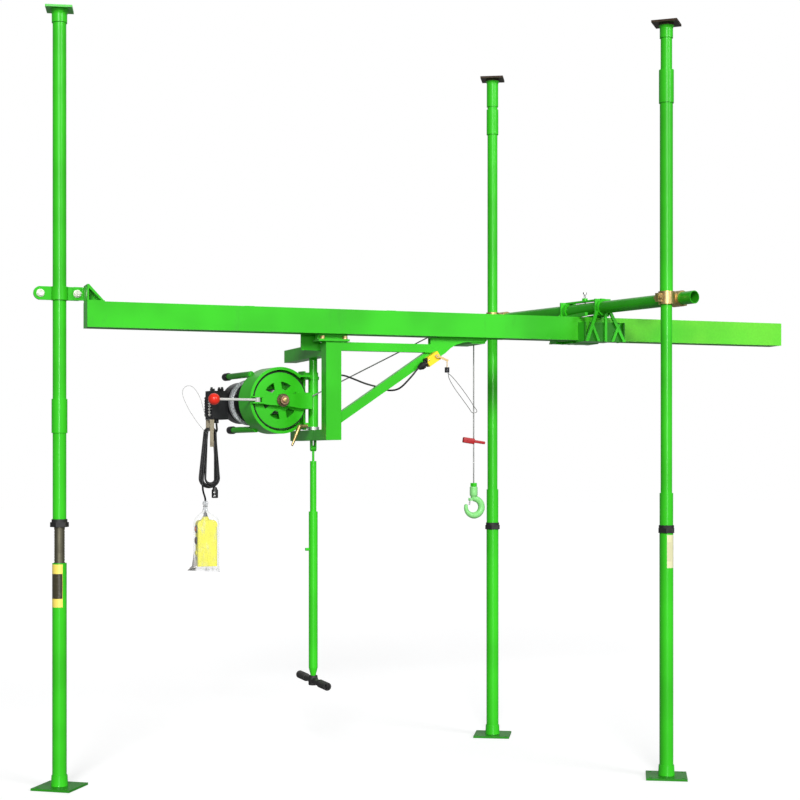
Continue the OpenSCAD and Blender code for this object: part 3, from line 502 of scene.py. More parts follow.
class CraneColours(bpy.types.PropertyGroup):
    green: FloatVectorProperty(
        name="Green", description="Enamel of the steelwork", default=(0.035, 0.52, 0.012), subtype="COLOR"
    )
    mint: FloatVectorProperty(
        name="Light green", description="Paint of the hook", default=(0.24, 0.66, 0.21), subtype="COLOR"
    )
    yellow: FloatVectorProperty(
        name="Yellow", description="Box of the limit switch", default=(0.9, 0.62, 0.02), subtype="COLOR"
    )
    gold: FloatVectorProperty(
        name="Plated steel", description="Couplers and bolts", default=(0.62, 0.45, 0.2), subtype="COLOR"
    )
    red: FloatVectorProperty(
        name="Red", description="Ball of the clutch lever", default=(0.75, 0.03, 0.015), subtype="COLOR"
    )


FINISHES = {}


def dress(node, key):
    """Gives a CAD node its finish."""
    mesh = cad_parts[node].data
    if not mesh.materials:
        mesh.materials.append(FINISHES[key])
    for i in range(len(mesh.materials)):
        mesh.materials[i] = FINISHES[key]


class CRANE_OT_stage(bpy.types.Operator):
    """Pale floor, studio lights and the camera at the photograph's angle"""

    bl_idname = "crane.stage"
    bl_label = "Stage"

    def execute(self, context):
        deselect()
        bpy.ops.object.camera_add(location=(-0.8131, -5.7959, 1.189), rotation=(radians(90), 0, radians(-20)))
        camera = context.object
        camera.data.lens = 72
        camera.data.sensor_width = 36
        camera.data.shift_y = 55.4 / 800
        context.scene.camera = camera
        for name, towards, power, spread in (
            ("key", (-0.34, -0.86, 0.4), 2.1, 14),
            ("fill", (0.45, -0.8, 0.4), 1.4, 25),
            ("flash", (-0.2, -0.95, 0.06), 0.7, 5),
            ("back", (0.3, 0.7, 0.65), 0.4, 60),
        ):
            bpy.ops.object.light_add(type="SUN", location=Vector(towards) * 6)
            lamp = context.object
            lamp.name = name
            lamp.data.energy = power
            lamp.data.angle = radians(spread)
            lamp.rotation_euler = (-Vector(towards)).to_track_quat("-Z", "Y").to_euler()
        f = Finish("pale floor", (0.5, 0.5, 0.5), 0.9)
        f.set("Emission Color", (1, 1, 1))
        f.set("Emission Strength", 0.63)
        bpy.ops.mesh.primitive_plane_add(size=60, location=(1, 0, -0.0005))
        floor = context.object
        floor.name = "studio_floor"
        settle(floor)
        floor.data.materials.append(f.material)
        floor.visible_diffuse = False
        floor.visible_glossy = False
        world = bpy.data.worlds.new("studio")
        world.use_nodes = True
        tree = world.node_tree
        seen, soft = tree.nodes["Background"], tree.nodes.new("ShaderNodeBackground")
        rays, mix = tree.nodes.new("ShaderNodeLightPath"), tree.nodes.new("ShaderNodeMixShader")
        seen.inputs["Color"].default_value = (1, 1, 1, 1)
        seen.inputs["Strength"].default_value = 1.0
        soft.inputs["Color"].default_value = (0.97, 0.98, 1, 1)
        soft.inputs["Strength"].default_value = 0.22
        tree.links.new(rays.outputs["Is Camera Ray"], mix.inputs[0])
        tree.links.new(soft.outputs[0], mix.inputs[1])
        tree.links.new(seen.outputs[0], mix.inputs[2])
        tree.links.new(mix.outputs[0], tree.nodes["World Output"].inputs["Surface"])
        context.scene.world = world
        context.scene.view_settings.view_transform = "Standard"
        return {"FINISHED"}


class CRANE_OT_cords(bpy.types.Operator):
    """Control cable in its hank, switch cable, thin wires and the rope over the sheave"""

    bl_idname = "crane.cords"
    bl_label = "Cords and rope"

    def execute(self, context):
        sizes = context.scene.crane_sizes
        rubber = moulded("cable rubber", (0.012, 0.012, 0.013), 0.42)
        FINISHES["cable"] = rubber
        FINISHES["wire"] = bare_metal("thin wire", (0.42, 0.41, 0.4), 0.38)
        FINISHES["rope"] = bare_metal("wire rope", (0.4, 0.4, 0.39), 0.42)
        route = hank_route()
        hank = line("control_cable", route, sizes.cable / 2, rubber, "carriage")
        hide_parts("cable_hank")
        length = length_of(route)

        start = [on_switch(-65.2, 0, 0), on_switch(-75, 0, 0)]
        route = steady_curve(start + rail(SWITCH_CABLE))
        cable = line("switch_cable", route, sizes.switch_cable / 2, rubber, "carriage")
        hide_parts("limit_cable")
        length_of(route)

        route = steady_curve(rail(HAIRPIN))
        pin = line("switch_wire", route, sizes.wire / 2, FINISHES["wire"], "limit_lever", 2)
        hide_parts("limit_loop")
        length_of(route)

        route = rope_over_sheave()
        lead = line("rope_to_sheave", route, sizes.rope / 2, FINISHES["rope"], "carriage")
        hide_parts("rope_lead")
        length_of(route)

        (x0, y0, z0), (x1, y1, z1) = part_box("rope_fall")
        x, y, r = (x0 + x1) / 2, (y0 + y1) / 2, sizes.rope / 2
        heights = [z0 + (z1 - z0) * k / 30 for k in range(31)]
        outline = [(0.0001, z0)] + [(r, z) for z in heights] + [(0.0001, z1)]
        fall = settle(turned("falling_rope", outline, 16), Matrix.Translation((x, y, 0)))
        fall.data.materials.append(FINISHES["rope"])
        smooth(fall)
        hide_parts("rope_fall")
        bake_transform(fall)

        loop = [(0.6375, 0.4262, 1.2738), (0.597, 0.425, 1.321), (0.561, 0.424, 1.376), (0.539, 0.424, 1.428)]
        loop += [(0.545, 0.425, 1.455), (0.566, 0.426, 1.464), (0.589, 0.427, 1.451), (0.612, 0.428, 1.412)]
        loop += [(0.626, 0.43, 1.365), (0.640, 0.436, 1.340), (0.652, 0.440, 1.3338)]
        route = steady_curve([Vector(p) for p in loop])
        wire = line("tag_wire", route, 0.0007, FINISHES["wire"], "carriage", 2)
        length_of(route)
        return {"FINISHED"}


def rope_over_sheave():
    """The rope's line from the drum's turns to the sheave and over it, as in the CAD."""
    # the rope's radius on the drum and on the sheave, and its place along the drum
    wind, run, along = 49.1, 35.6, 46
    c, s = cos(HOIST_TURN), sin(HOIST_TURN)
    x0, y0 = DRUM[0] - along * s, DRUM[1] + along * c
    dx, dz = SHEAVE[0] - x0, SHEAVE[2] - DRUM[2]
    turn = atan2(dz, dx) + asin((wind + run) / sqrt(dx * dx + dz * dz))
    on_drum = lambda a: (x0 + wind * sin(a) * c, y0 + wind * sin(a) * s, DRUM[2] - wind * cos(a))
    on_sheave = lambda a: (SHEAVE[0] - run * sin(a), SHEAVE[1], SHEAVE[2] + run * cos(a))
    points = [on_drum(turn - radians(60 - 6 * k)) for k in range(11)]
    points += [on_sheave(turn * (1 - k / 6)) for k in range(7)]
    points += [on_sheave(-radians(7.5) * k) for k in range(1, 13)]
    points.append((1647.6, SHEAVE[1], 1689.2))
    return rail(points)


# which nodes take which finish; the others are plain green
DRESSED = {
    "nut": "nut_a nut_b nut_c",
    "thread": "screw_a",
    "steel": "saddle_bolt wheelset_1 wheelset_2 wheelset_3 wheelset_4 sheave hook_latch",
    "gold": "coupler_b coupler_c clamp_handle",
    "foot": "leg_a leg_b leg_c",
    "capped": "head_b head_c",
    "bolted": "hanger_left",
    "hoist": "hoist_frame",
    "strap": "bearing_strap",
    "drum": "drum",
    "motor": "motor",
    "lever": "clutch_lever",
    "terminals": "control_box",
    "switch": "limit_box",
    "weight": "limit_lever",
    "rail": "rail",
    "saddle": "saddle",
    # the cross tube takes the green darkened as painted shade
    "shade": "cross_tube",
    "clamp": "clamp_front",
    "pendant": "pendant",
    "orange": "button_up",
    "brown": "button_down",
}


class CRANE_OT_paint(bpy.types.Operator):
    """Paint, plating, rubber and plastic on the CAD's own pieces"""

    bl_idname = "crane.paint"
    bl_label = "Paint"

    def execute(self, context):
        colours = context.scene.crane_colours
        green, gold, red = tuple(colours.green), tuple(colours.gold), tuple(colours.red)
        made = FINISHES
        made["nut"] = bare_metal("oiled cast nut", (0.05, 0.05, 0.05), 0.5, oily=0.3, metal=0.8)
        made["thread"] = bare_metal("oiled thread", (0.17, 0.16, 0.11), 0.38, (0.3, 0.3, 3), 0.3, 0.85)
        made["steel"] = bare_metal("bare steel", (0.5, 0.5, 0.49), 0.3)
        made["gold"] = bare_metal("yellow plating", gold, 0.34, oily=0.05)
        made["black"] = moulded("black plastic", (0.015, 0.015, 0.017), 0.5)
        made["grip"] = moulded("grip rubber", (0.012, 0.012, 0.012), 0.55, 400)
        made["pendant"] = moulded("pendant plastic", (0.8, 0.76, 0.015), 0.4)
        made["dark_red"] = moulded("dark red plastic", (0.42, 0.012, 0.015), 0.4)
        made["orange"] = moulded("orange button", (0.7, 0.16, 0.01), 0.3)
        made["brown"] = moulded("brown button", (0.12, 0.035, 0.012), 0.3)

        zinc, bright = (0.62, 0.66, 0.55), (0.6, 0.62, 0.6)
        grey, brown = (0.35, 0.35, 0.34), (0.12, 0.09, 0.05)
        cap = zone(lambda x, y, z: z > 2.7765, (0.05, 0.032, 0.02), 0.6, 0.4)
        foot = zone(lambda x, y, z: z < 0.0085, scaled(green, 0.45), 0.45, 0.0)
        bolts = zone(lambda x, y, z: (z > 1.6252) * ((y - RAIL_Y).size() > 0.0155), gold, 0.3, 0.95)
        heads = zone(lambda x, y, z: (y < -0.0085) * ((x + 0.0035).size() > 0.05), zinc, 0.35, 0.7)
        # painted shade: the saddle's plate, set back between the ribs, darkened to a third of the green for
        # the shade in those recesses
        painted_rib_shade = zone(lambda x, y, z: within(y, -0.1515, -0.1425) * (z < 1.713), scaled(green, 0.34), 0.35, 0.0)
        gland = zone(lambda x, y, z: x < 1.3735, (0.012, 0.012, 0.012), 0.5, 0.0)
        weight = zone(lambda x, y, z: z < 1.5265, (0.03, 0.03, 0.035), 0.4, 0.5)
        ring = hoist_zone(lambda x, y, r, z: within(z, -0.1125, -0.0995) * (x > 0.1285), bright, 0.3, 0.9)
        tips = hoist_zone(lambda x, y, r, z: (y > 0.329) * (r > 0.06), (0.02, 0.02, 0.02), 0.5, 0.0)
        axle = hoist_zone(lambda x, y, r, z: (r < 0.0172) * (y < -0.0302), (0.35, 0.2, 0.13), 0.35, 0.9)
        pad = hoist_zone(lambda x, y, r, z: within(r, 0.0172, 0.0256) * (y < -0.0242), brown, 0.5, 0.6)
        # painted shade: the flange's front from r 107.5 mm outwards near-black, widening the dark gap between
        # the drum's disc and the shell into a shaded ring
        painted_gap_shade = hoist_zone(lambda x, y, r, z: (r > 0.1075) * (y < 0.004), (0.012, 0.02, 0.012), 0.6, 0.0)
        turns = hoist_zone(
            lambda x, y, r, z: within(r, 0.041, 0.05) * within(y, 0.0065, 0.0855), grey, 0.4, 0.9
        )
        alloy = hoist_zone(lambda x, y, r, z: within(y, 0.26, 0.304), (0.72, 0.73, 0.75), 0.38, 0.7)
        pale = hoist_zone(lambda x, y, r, z: (x < -0.1595) * (y < 0.3372), (0.62, 0.6, 0.56), 0.4, 0.0)
        ball = hoist_zone(lambda x, y, r, z: x < -0.256, red, 0.22, 0.0)
        # paler, yellower green towards the rail's far end, from x 1.9 to 2.3 m, in soft noisy patches
        paler_far_end = (
            lambda f: f.axes()[0].ramp(1.9, 2.3) * (f.noise(4, 2).ramp(0.3, 0.65) * 0.45 + 0.3),
            (0.17, 0.66, 0.035),
            0.3,
            0.0,
        )
        for key, name, colour, gloss, zones in (
            ("green", "green enamel", green, 0.3, []),
            # painted shade: the whole green darkened to 0.62 for the cross tube, which hangs in shade
            ("shade", "deeper green enamel", scaled(green, 0.62), 0.3, []),
            ("capped", "green enamel, rusty cap", green, 0.3, [cap]),
            ("foot", "green enamel, dull foot plate", green, 0.3, [foot]),
            ("bolted", "green enamel, plated bolts", green, 0.3, [bolts]),
            ("clamp", "green enamel, plated bolt heads", green, 0.3, [heads]),
            # the saddle's green with painted shade between its ribs
            ("saddle", "green enamel, dark between ribs", green, 0.3, [painted_rib_shade]),
            ("rail", "green enamel, lighter end", green, 0.3, [paler_far_end]),
            ("hoist", "green enamel, bare ring", green, 0.3, [ring, tips]),
            ("strap", "green enamel, bronze axle", green, 0.3, [axle, pad]),
            # the drum's green with grey rope turns and a painted shaded ring at its gap
            ("drum", "green enamel, rope turns", green, 0.3, [turns, painted_gap_shade]),
            ("motor", "black enamel, alloy ring", (0.012, 0.012, 0.014), 0.35, [alloy]),
            ("terminals", "black box, pale terminals", (0.014, 0.014, 0.017), 0.42, [pale]),
            ("lever", "bare lever, red ball", (0.5, 0.5, 0.48), 0.3, [ball]),
            ("switch", "yellow box, black gland", tuple(colours.yellow), 0.35, [gland]),
            ("weight", "plated lever, dark weight", gold, 0.35, [weight]),
        ):
            made[key] = enamel(name, colour, gloss, zones)
        keys = {node: key for key, nodes in DRESSED.items() for node in nodes.split()}
        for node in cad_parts:
            dress(node, keys.get(node, "green"))
        return {"FINISHED"}


def in_mm(values):
    return [v / 1000 for v in values]


def hoist_block(name, low, high, bevel):
    """A bevelled block given in millimetres in the hoist's own axes."""
    return settle(block(name, in_mm(low), in_mm(high), bevel), HOIST)


def hoist_bar(name, start, end, radius, bevel=0.0006, sides=24):
    return settle(round_bar(name, in_mm(start), in_mm(end), radius / 1000, bevel, sides), HOIST)


def turned(name, outline, steps=48):
    """A piece spun about Z from (radius, height) pairs in metres."""
    points = [(r, 0, z) for r, z in outline]
    o = meshed(name, points, [(i, i + 1) for i in range(len(points) - 1)], [])
    pick(o)
    bpy.ops.object.mode_set(mode="EDIT")
    bpy.ops.mesh.select_all(action="SELECT")
    bpy.ops.mesh.spin(steps=steps, angle=2 * pi, center=(0, 0, 0), axis=(0, 0, 1))
    bpy.ops.object.mode_set(mode="OBJECT")
    outward(o)
    return o


def tapered(name, points, radii):
    """A round body along a curve, with a radius at each point."""
    o, spline = curved(name, points, 1.0, 6)
    for point, radius in zip(spline.points, radii):
        point.radius = radius
    pick(o)
    bpy.ops.object.convert(target="MESH")
    o = bpy.context.object
    outward(o)
    return o


class CRANE_OT_hook(bpy.types.Operator):
    """Forged hook with its swivel neck, latch ears and the red striker above it"""

    bl_idname = "crane.hook"
    bl_label = "Hook and striker"

    def execute(self, context):
        mint = enamel("light green paint", tuple(context.scene.crane_colours.mint), 0.32)
        at = FALL
        mid, reach = 0.983, 0.0335
        points = [at + Vector((0, 0, 1.034)), at + Vector((0, 0, 1.026)), at + Vector((0.0006, 0, 1.0185))]
        radii = [0.0125, 0.0122, 0.0118]
        for k in range(1, 41):
            a = radians(90 - 7 * k)
            points.append(at + Vector((reach * cos(a), 0, mid + reach * sin(a))))
            share = k / 40
            belly, taper = 0.0018 * sin(pi * min(1, share * 1.15)), 0.0045 * max(0, share - 0.62) / 0.38
            radii.append(0.0118 + belly - taper)
        tip, back = points[-1], (points[-1] - points[-2]).normalized()
        for k, r in ((0.0022, 0.93), (0.004, 0.78), (0.0055, 0.5), (0.0062, 0.2)):
            points.append(tip + back * k)
            radii.append(radii[42] * r)
        parts = [tapered("hook_body", points, radii)]
        neck = [(0.0001, 1.0255), (0.0125, 1.0255), (0.0148, 1.028), (0.0158, 1.033), (0.0158, 1.052)]
        neck += [(0.0152, 1.0545), (0.0158, 1.057), (0.0158, 1.0615), (0.0142, 1.0642), (0.0095, 1.0644)]
        neck.append((0.0001, 1.0644))
        parts.append(settle(turned("hook_neck", neck), Matrix.Translation(at)))
        for y in (-0.0055, 0.0055):
            low, high = at + Vector((-0.0205, y - 0.0015, 1.0085)), at + Vector((-0.006, y + 0.0015, 1.0195))
            parts.append(block("hook_ear", low, high, 0.0008))
        body = joined("forged_hook", parts)
        put(body, "hook", mint, 50)
        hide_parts("hook")

        tilt = Matrix.Translation(at + Vector((0, 0, 1.245))) @ Matrix.Rotation(radians(8), 4, "Y")
        head = block("striker_head", (-0.046, -0.009, -0.011), (0.002, 0.009, 0.011), 0.003)
        arm = block("striker_arm", (-0.002, -0.007, -0.005), (0.048, 0.007, 0.006), 0.0025)
        pin = round_bar("striker_pin", (-0.03, -0.0098, 0), (-0.03, 0.0098, 0), 0.003)
        striker = joined("red_striker", [settle(part, tilt) for part in (head, arm, pin)])
        put(striker, "hook_top", FINISHES["dark_red"])
        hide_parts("striker")
        return {"FINISHED"}


class CRANE_OT_grip(bpy.types.Operator):
    """Ribbed rubber grips on the pull rod's cross bar"""

    bl_idname = "crane.grip"
    bl_label = "T grip"

    def execute(self, context):
        x, y, z, half_bar = 1.005, 0.190, 0.311, 0.185
        parts = []
        for side in (-1, 1):
            outline = [(0.0001, 0.0), (0.0148, 0.0), (0.0158, 0.0015), (0.0158, 0.004)]
            for k in range(9):
                h = 0.008 + 0.0085 * k
                outline += [(0.0158, h), (0.0158, h + 0.0045), (0.0146, h + 0.0055), (0.0146, h + 0.0073)]
            outline += [(0.0158, 0.086), (0.0158, 0.0915), (0.0142, 0.094), (0.0115, 0.095), (0.0001, 0.095)]
            grip = turned("grip", outline, 32)
            turn = Matrix.Rotation(radians(90 * side), 4, "X")
            parts.append(settle(grip, Matrix.Translation((x, y + side * half_bar, z)) @ turn))
        outline = [(0.0001, -half_bar), (0.0118, -half_bar), (0.0118, half_bar), (0.0001, half_bar)]
        middle = Matrix.Translation((x, y, z))
        parts.append(settle(turned("bar", outline, 32), middle @ Matrix.Rotation(pi / 2, 4, "X")))
        outline = [(0.0001, -0.018), (0.0165, -0.018), (0.0188, -0.0155), (0.0188, 0.008), (0.0175, 0.012)]
        outline += [(0.0168, 0.0185), (0.0158, 0.02), (0.0001, 0.02)]
        parts.append(settle(turned("hub", outline, 40), middle))
        grip = joined("rubber_grip", parts)
        put(grip, "rod_outer", FINISHES["grip"], 30)
        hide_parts("t_grip")
        return {"FINISHED"}


def ribbon(name, route, x0, x1, thick):
    """A strap of width x0 to x1 along points of (y from the rail's middle, z) in millimetres."""
    middle = steady_curve([Vector((0, y, z)) for y, z in route], 5)
    rows = [[(x0 + (x1 - x0) * k / 4, p.y, p.z) for k in range(5)] for p in middle]
    points = rail([p for row in rows for p in row])
    o = meshed(name, points, [], strip_faces(len(rows), 5, False))
    finish_with(o, "SOLIDIFY", thickness=thick / 1000, offset=0)
    outward(o)
    return o


class CRANE_OT_strap(bpy.types.Operator):
    """Beige woven strap that hangs the coiled cable from the control box, and the plug on its lead"""

    bl_idname = "crane.strap"
    bl_label = "Strap and plug"

    def execute(self, context):
        f = Finish("woven strap", (0.5, 0.43, 0.3), 0.85, Sheen_Weight=0.3)
        x, y, z = f.axes()
        weave = (x * 2600).sine() * (z * 2100 + y * 2100).sine()
        tone = f.mix(weave.ramp(-0.8, 0.8), (0.3, 0.25, 0.17), (0.58, 0.5, 0.36))
        soil = f.noise(60, 5).ramp(0.45, 0.7) * 0.5
        edge = ((x - HANK_X / 1000).size() > 0.0072) * 0.5
        f.set("Base Color", f.mix(soil, f.mix(edge, tone, (0.2, 0.16, 0.1)), (0.2, 0.17, 0.12)))
        f.bump(weave, 0.5, 0.0006)
        loop = [(473.8, 1331.6), (473.6, 1315), (473.7, 1298), (476, 1288.5), (484, 1286.9), (508, 1286.6)]
        loop += [(530, 1286.9), (539, 1288.8), (541.6, 1298), (541.8, 1315), (541.7, 1331.6)]
        tail = [(472.6, 1301), (471, 1294), (470.6, 1280), (471.1, 1262), (470.5, 1246), (470.9, 1232)]
        tail.append((470.6, 1223))
        parts = [ribbon("strap_loop", loop, HANK_X - 9, HANK_X + 9, 1.5)]
        parts.append(ribbon("strap_tail", tail, 649.3, 664.2, 1.4))
        strap = joined("woven_strap", parts)
        put(strap, "carriage", f.material, 50)
        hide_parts("hank_strap")

        plug_x = 668
        outline = [(0.0001, 1.020), (0.0105, 1.020), (0.0126, 1.0215), (0.013, 1.024), (0.0126, 1.0275)]
        outline += [(0.013, 1.031), (0.0126, 1.0345), (0.013, 1.038), (0.0128, 1.050), (0.0118, 1.0535)]
        outline += [(0.0098, 1.0545), (0.009, 1.058), (0.0074, 1.0625), (0.0048, 1.0632), (0.0001, 1.0632)]
        body = settle(turned("plug_body", outline, 40), Matrix.Translation(rail([(plug_x, 466.4, 0)])[0]))
        lead = round_bar("plug_lead", *rail([(plug_x, 469.4, 1050), (plug_x, 469.4, 1244.8)]), 0.0032)
        plug = joined("plug_and_lead", [body, lead])
        put(plug, "carriage", FINISHES["cable"], 40)
        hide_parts("cable_plug")
        pins = []
        for z in (1028, 1041):
            a, b = rail([(664, 453.6, z), (664, 456, z)])
            pins.append(round_bar("plug_pin", a, b, 0.0042, 0.0008))
        put(joined("plug_faces", pins), "carriage", FINISHES["steel"])
        return {"FINISHED"}


class CRANE_OT_pendant(bpy.types.Operator):
    """Collars round the pendant's buttons, its lid, screws and cable sleeve"""

    bl_idname = "crane.pendant"
    bl_label = "Pendant"

    def execute(self, context):
        x, y = PENDANT_AT.x, PENDANT_AT.y
        side = Matrix.Rotation(-pi / 2, 4, "Y")
        parts = []
        for z in (0.850, 0.896):
            ring = [(0.0101, 0.0), (0.0150, 0.0), (0.0158, 0.0008), (0.0152, 0.0032), (0.0118, 0.0042)]
            ring += [(0.0101, 0.0036), ring[0]]
            parts.append(settle(turned("collar", ring, 40), Matrix.Translation((x - 0.0359, y, z)) @ side))
        sleeve = [(0.0043, 0.943), (0.0098, 0.943), (0.0096, 0.948), (0.0078, 0.9495), (0.0078, 0.953)]
        sleeve += [(0.0068, 0.9545), (0.0068, 0.958), (0.0058, 0.96), (0.0043, 0.96), (0.0043, 0.943)]
        parts.append(settle(turned("sleeve", sleeve, 32), Matrix.Translation((x, y, 0))))
        put(joined("pendant_collars", parts), "carriage", FINISHES["black"])
        parts = [block("plate", (x - 0.0363, y - 0.0125, 0.772), (x - 0.0355, y + 0.0125, 0.786), 0.0003)]
        for z in (0.768, 0.898):
            for dy in (-0.0099, 0.0099):
                ends = [(x + out, y + dy, z) for out in (0.0432, 0.0446)]
                parts.append(round_bar("screw", *ends, 0.0028, 0.0004, 20))
        put(joined("pendant_screws", parts), "carriage", FINISHES["steel"])
        parts = []
        for low, high in ((-0.0236, -0.0226), (0.0226, 0.0236)):
            parts.append(block("seam", (x + 0.0045, y + low, 0.7485), (x + 0.0065, y + high, 0.9285), 0.0003))
        put(joined("pendant_seam", parts), "carriage", FINISHES["pendant"])
        return {"FINISHED"}


def bag_shape(z):
    """Half width, half depth, creasing and sideways shift of the bag at a height, in metres."""
    rows = [(1.0075, 0.008, 0.008, 0.3, 0), (0.998, 0.011, 0.0105, 0.4, 0), (0.985, 0.0072, 0.0072, 0.1, 0)]
    rows += [(0.968, 0.011, 0.0105, 0.5, 0), (0.950, 0.033, 0.021, 0.8, 0.002)]
    rows += [(0.937, 0.0475, 0.0285, 0.7, 0.004), (0.915, 0.0512, 0.0305, 0.5, 0.004)]
    rows += [(0.860, 0.0512, 0.0305, 0.4, 0.004), (0.780, 0.0516, 0.03, 0.5, 0.004)]
    rows += [(0.756, 0.0545, 0.0275, 0.6, 0.002), (0.7475, 0.060, 0.0255, 0.5, -0.003)]
    rows += [(0.7445, 0.0645, 0.008, 0.4, -0.006), (0.7425, 0.0665, 0.0012, 0.2, -0.007)]
    for (z1, *a), (z0, *b) in zip(rows, rows[1:]):
        if z >= z0:
            t = (z - z0) / (z1 - z0)
            t = t * t * (3 - 2 * t)
            return [q + (p - q) * t for p, q in zip(a, b)]
    return rows[-1][1:]


class CRANE_OT_bag(bpy.types.Operator):
    """Clear bag drawn in and tied over the pendant, with its creased skirt"""

    bl_idname = "crane.bag"
    bl_label = "Clear bag"

    def execute(self, context):
        film = Finish("clear film", (0.8, 0.83, 0.86), 0.12, Coat_Weight=0.5, Coat_Roughness=0.05, IOR=1.4)
        crease = film.noise(34, 4, 0.6, film.stretched(1, 1, 0.35)).ramp(0.5, 0.72)
        haze = film.noise(120, 3).ramp(0.5, 0.8)
        x, y, z = film.axes()
        flap = z.ramp(0.81, 0.755) * x.ramp(PENDANT_AT.x - 0.034, PENDANT_AT.x - 0.046)
        film.set("Base Color", film.mix(flap * 0.8, (0.86, 0.88, 0.9), (0.4, 0.35, 0.31)))
        film.set("Alpha", z.ramp(0.955, 0.975) * 0.3 + crease * 0.16 + haze * 0.04 + flap * 0.4 + 0.05)
        film.bump(crease + film.noise(18, 3) * 0.8, 0.6, 0.004)
        around, heights = 72, [1.0075 - 0.0045 * k for k in range(56)]
        heights += [0.7565, 0.7535, 0.751, 0.749, 0.7475, 0.7462, 0.7449, 0.7437, 0.7425]
        verts = []
        for z in heights:
            w, t, fold, shift = bag_shape(z)
            for k in range(around):
                a = 2 * pi * k / around
                x = w * (1 if cos(a) >= 0 else -1) * abs(cos(a)) ** 0.62
                y = t * (1 if sin(a) >= 0 else -1) * abs(sin(a)) ** 0.62
                wave = sin(7 * a + 40 * z) * 0.5 + sin(13 * a - 55 * z + 1) * 0.35
                wave += sin(5 * a + 120 * z) * 0.3
                push = fold * wave * 0.032 * min(w, t * 2.2)
                corner = max(0, (0.79 - z) / 0.0475) ** 2 * (abs(x) / w) ** 3 * (0.012 if x < 0 else 0.021)
                at = (PENDANT_AT.x + shift + x + push * cos(a), PENDANT_AT.y + y + push * sin(a), z - corner)
                verts.append(at)
        faces = strip_faces(len(heights), around, True)
        faces.append(tuple((len(heights) - 1) * around + k for k in range(around)))
        bag = meshed("clear_bag", verts, [], faces)
        outward(bag)
        finish_with(bag, "SOLIDIFY", thickness=context.scene.crane_sizes.film, offset=-1)
        put(bag, "carriage", film.material, 60)
        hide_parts("pendant_bag")

        tie_r, tie_z, tie_rise = 0.0088, 0.985, 0.0011
        angles = [k / 8 * pi for k in range(34)]
        tie = [PENDANT_AT + Vector((tie_r * cos(a), tie_r * sin(a), tie_z)) for a in angles]
        tie = [p + Vector((0, 0, tie_rise * k / 16)) for k, p in enumerate(tie)]
        tail = ((-0.001, 0.0038, 0), (0.0002, 0.008, -0.0008), (0.003, 0.0125, -0.0025))
        tie += [tie[-1] + Vector(p) for p in tail]
        route = steady_curve(tie, 3)
        wire = line("bag_tie", route, 0.0007, FINISHES["wire"], "carriage", 2)
        length_of(route)
        return {"FINISHED"}


def wrapped(name, centre, angles, heights):
    """A thin label wrapped round a lower tube, from one angle and height to another."""
    tube, lift = 0.0255, 0.0003
    deselect()
    bpy.ops.mesh.primitive_grid_add(x_subdivisions=24, y_subdivisions=12, size=2)
    o = bpy.context.object
    o.name = name
    for v in o.data.vertices:
        a = radians(angles[0] + (angles[1] - angles[0]) * (v.co.x + 1) / 2)
        z = heights[0] + (heights[1] - heights[0]) * (v.co.y + 1) / 2
        v.co = (centre[0] + (tube + lift) * cos(a), centre[1] + (tube + lift) * sin(a), z)
    finish_with(o, "SOLIDIFY", thickness=lift * 0.8, offset=-1)
    outward(o)
    return o


class CRANE_OT_labels(bpy.types.Operator):
    """Blank stickers on the lower tubes of columns A and C"""

    bl_idname = "crane.labels"
    bl_label = "Blank labels"

    def execute(self, context):
        for name, centre, angles, heights, pale, dark in (
            ("label_a", (0, 0), (176, 288), (0.647, 0.8), (0.9, 0.72, 0.13), 0.97),
            ("label_c", (2.135, -0.575), (246, 322), (0.774, 0.896), (0.72, 0.7, 0.42), 0.12),
        ):
            f = Finish(name + " paper", pale, 0.35, Coat_Weight=0.4)
            x, y, z = f.axes()
            tall = heights[1] - heights[0]
            patch = within(z, heights[0] + tall * 0.2, heights[0] + tall * 0.78) * (x < centre[0] + 0.007)
            scuff = f.noise(70, 5).ramp(0.6, 0.8) * 0.25
            tone = f.mix(patch * dark, pale, (0.015, 0.014, 0.012))
            f.set("Base Color", f.mix(scuff, tone, (0.4, 0.38, 0.3)))
            f.set("Roughness", f.noise(40, 3) * 0.2 + 0.25)
            f.bump(f.noise(200, 2), 0.1, 0.0003)
            o = wrapped(name, centre, angles, heights)
            put(o, "leg_" + name[-1], f.material, 60)
        return {"FINISHED"}


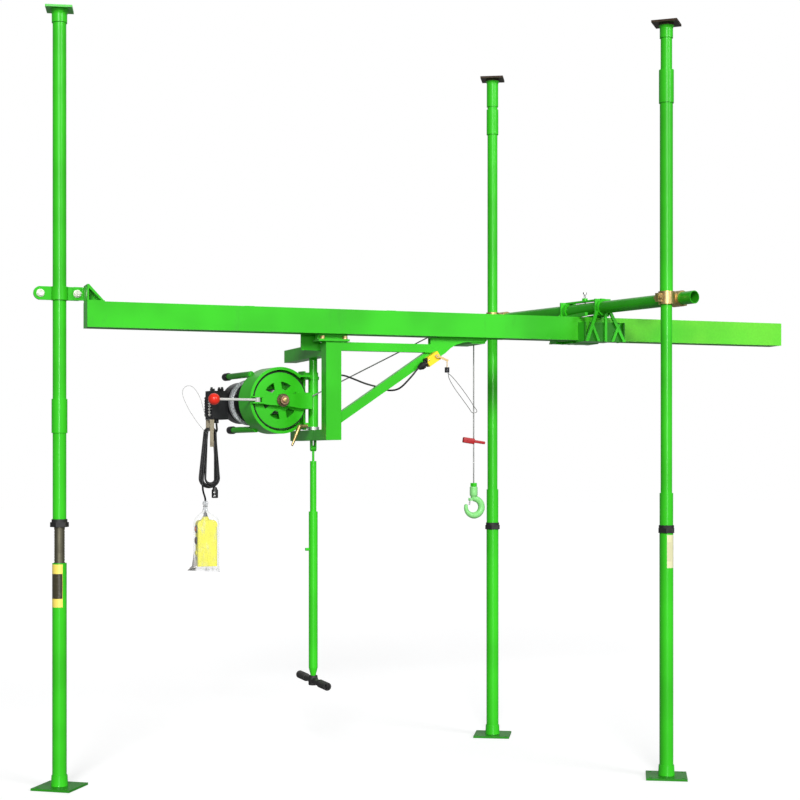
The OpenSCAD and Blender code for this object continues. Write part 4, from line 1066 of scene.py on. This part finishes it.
class CRANE_OT_fittings(bpy.types.Operator):
    """Caps, screws, hoses and small fittings of the hoist, the limit switch and the columns"""

    bl_idname = "crane.fittings"
    bl_label = "Small fittings"

    def execute(self, context):
        black, steel, gold = FINISHES["black"], FINISHES["steel"], FINISHES["gold"]
        parts = [hoist_block("lid", (-153.2, 318.6, -66), (-86.8, 322, 44), 0.001)]
        for x in (-147, -93):
            for z in (-60, 38):
                parts.append(hoist_bar("lid_screw", (x, 317.4, z), (x, 320, z), 3.2))
        for x, y in ((-136, 372), (-104, 340), (-104, 372)):
            parts.append(hoist_bar("gland", (x, y, 46), (x, y, 56), 6.5))
            parts.append(hoist_bar("gland", (x, y, 56), (x, y, 62), 4.6))
        put(joined("control_box_details", parts), "carriage", black)
        parts = []
        outline = [(0.0001, 0), (0.0125, 0), (0.0152, 0.002), (0.0157, 0.006), (0.0155, 0.036)]
        outline += [(0.0138, 0.041), (0.0105, 0.043), (0.0001, 0.043)]
        for x, z in ((-78, 103), (-58, -110)):
            place = Matrix.Translation(Vector((x, 330, z)) / 1000) @ Matrix.Rotation(-pi / 2, 4, "X")
            parts.append(settle(turned("bar_cap", outline, 32), HOIST @ place))
        put(joined("tie_bar_caps", parts), "carriage", black)
        parts = []
        for k in range(12):
            a = radians(30 * k)
            for r in (24, 38, 52):
                x, z = r * cos(a), r * sin(a)
                parts.append(hoist_bar("vent", (x, 397, z), (x, 399.5, z), 3.4, 0.0004, 16))
        put(joined("motor_vents", parts), "carriage", steel)
        nut = hoist_bar("axle_nut", (0, -45, 0), (0, -50.5, 0), 10, 0.001, 6)
        put(nut, "carriage", gold)
        parts = []
        for z in range(-52, 15, 11):
            parts.append(hoist_block("terminal", (-159.4, 329.2, z), (-154.4, 330.4, z + 6), 0.0003))
        put(joined("terminal_row", parts), "carriage", steel)
        parts = []
        for x in (12, -20):
            parts.append(round_bar("switch_screw", on_switch(x, -18.2, 6), on_switch(x, -20, 6), 0.0028))
        put(joined("switch_screws", parts), "carriage", steel)
        ring = round_bar("gland_nut", on_switch(-29.2, 0, 0), on_switch(-35, 0, 0), 0.0135, 0.0012, 6)
        put(ring, "carriage", black)
        return {"FINISHED"}


OPERATORS = [CRANE_OT_stage, CRANE_OT_cords, CRANE_OT_paint, CRANE_OT_hook, CRANE_OT_grip, CRANE_OT_strap]
OPERATORS += [CRANE_OT_pendant, CRANE_OT_bag, CRANE_OT_labels, CRANE_OT_fittings]


class CRANE_PT_panel(bpy.types.Panel):
    bl_idname = "CRANE_PT_panel"
    bl_label = "Hoist crane"
    bl_space_type = "VIEW_3D"
    bl_region_type = "UI"
    bl_category = "Crane"

    def draw(self, context):
        for group in (context.scene.crane_sizes, context.scene.crane_colours):
            for name in group.bl_rna.properties.keys():
                if name not in ("rna_type", "name"):
                    self.layout.prop(group, name)
        for operator in OPERATORS:
            self.layout.operator(operator.bl_idname)


CLASSES = [CraneSizes, CraneColours, *OPERATORS, CRANE_PT_panel]


def register():
    for kind in CLASSES:
        bpy.utils.register_class(kind)
    bpy.types.Scene.crane_sizes = PointerProperty(type=CraneSizes)
    bpy.types.Scene.crane_colours = PointerProperty(type=CraneColours)


def unregister():
    del bpy.types.Scene.crane_colours
    del bpy.types.Scene.crane_sizes
    for kind in reversed(CLASSES):
        bpy.utils.unregister_class(kind)


def main():
    register()
    for operator in OPERATORS:
        getattr(bpy.ops.crane, operator.bl_idname.split(".")[1])()
    deselect()


if __name__ == "__main__":
    main()
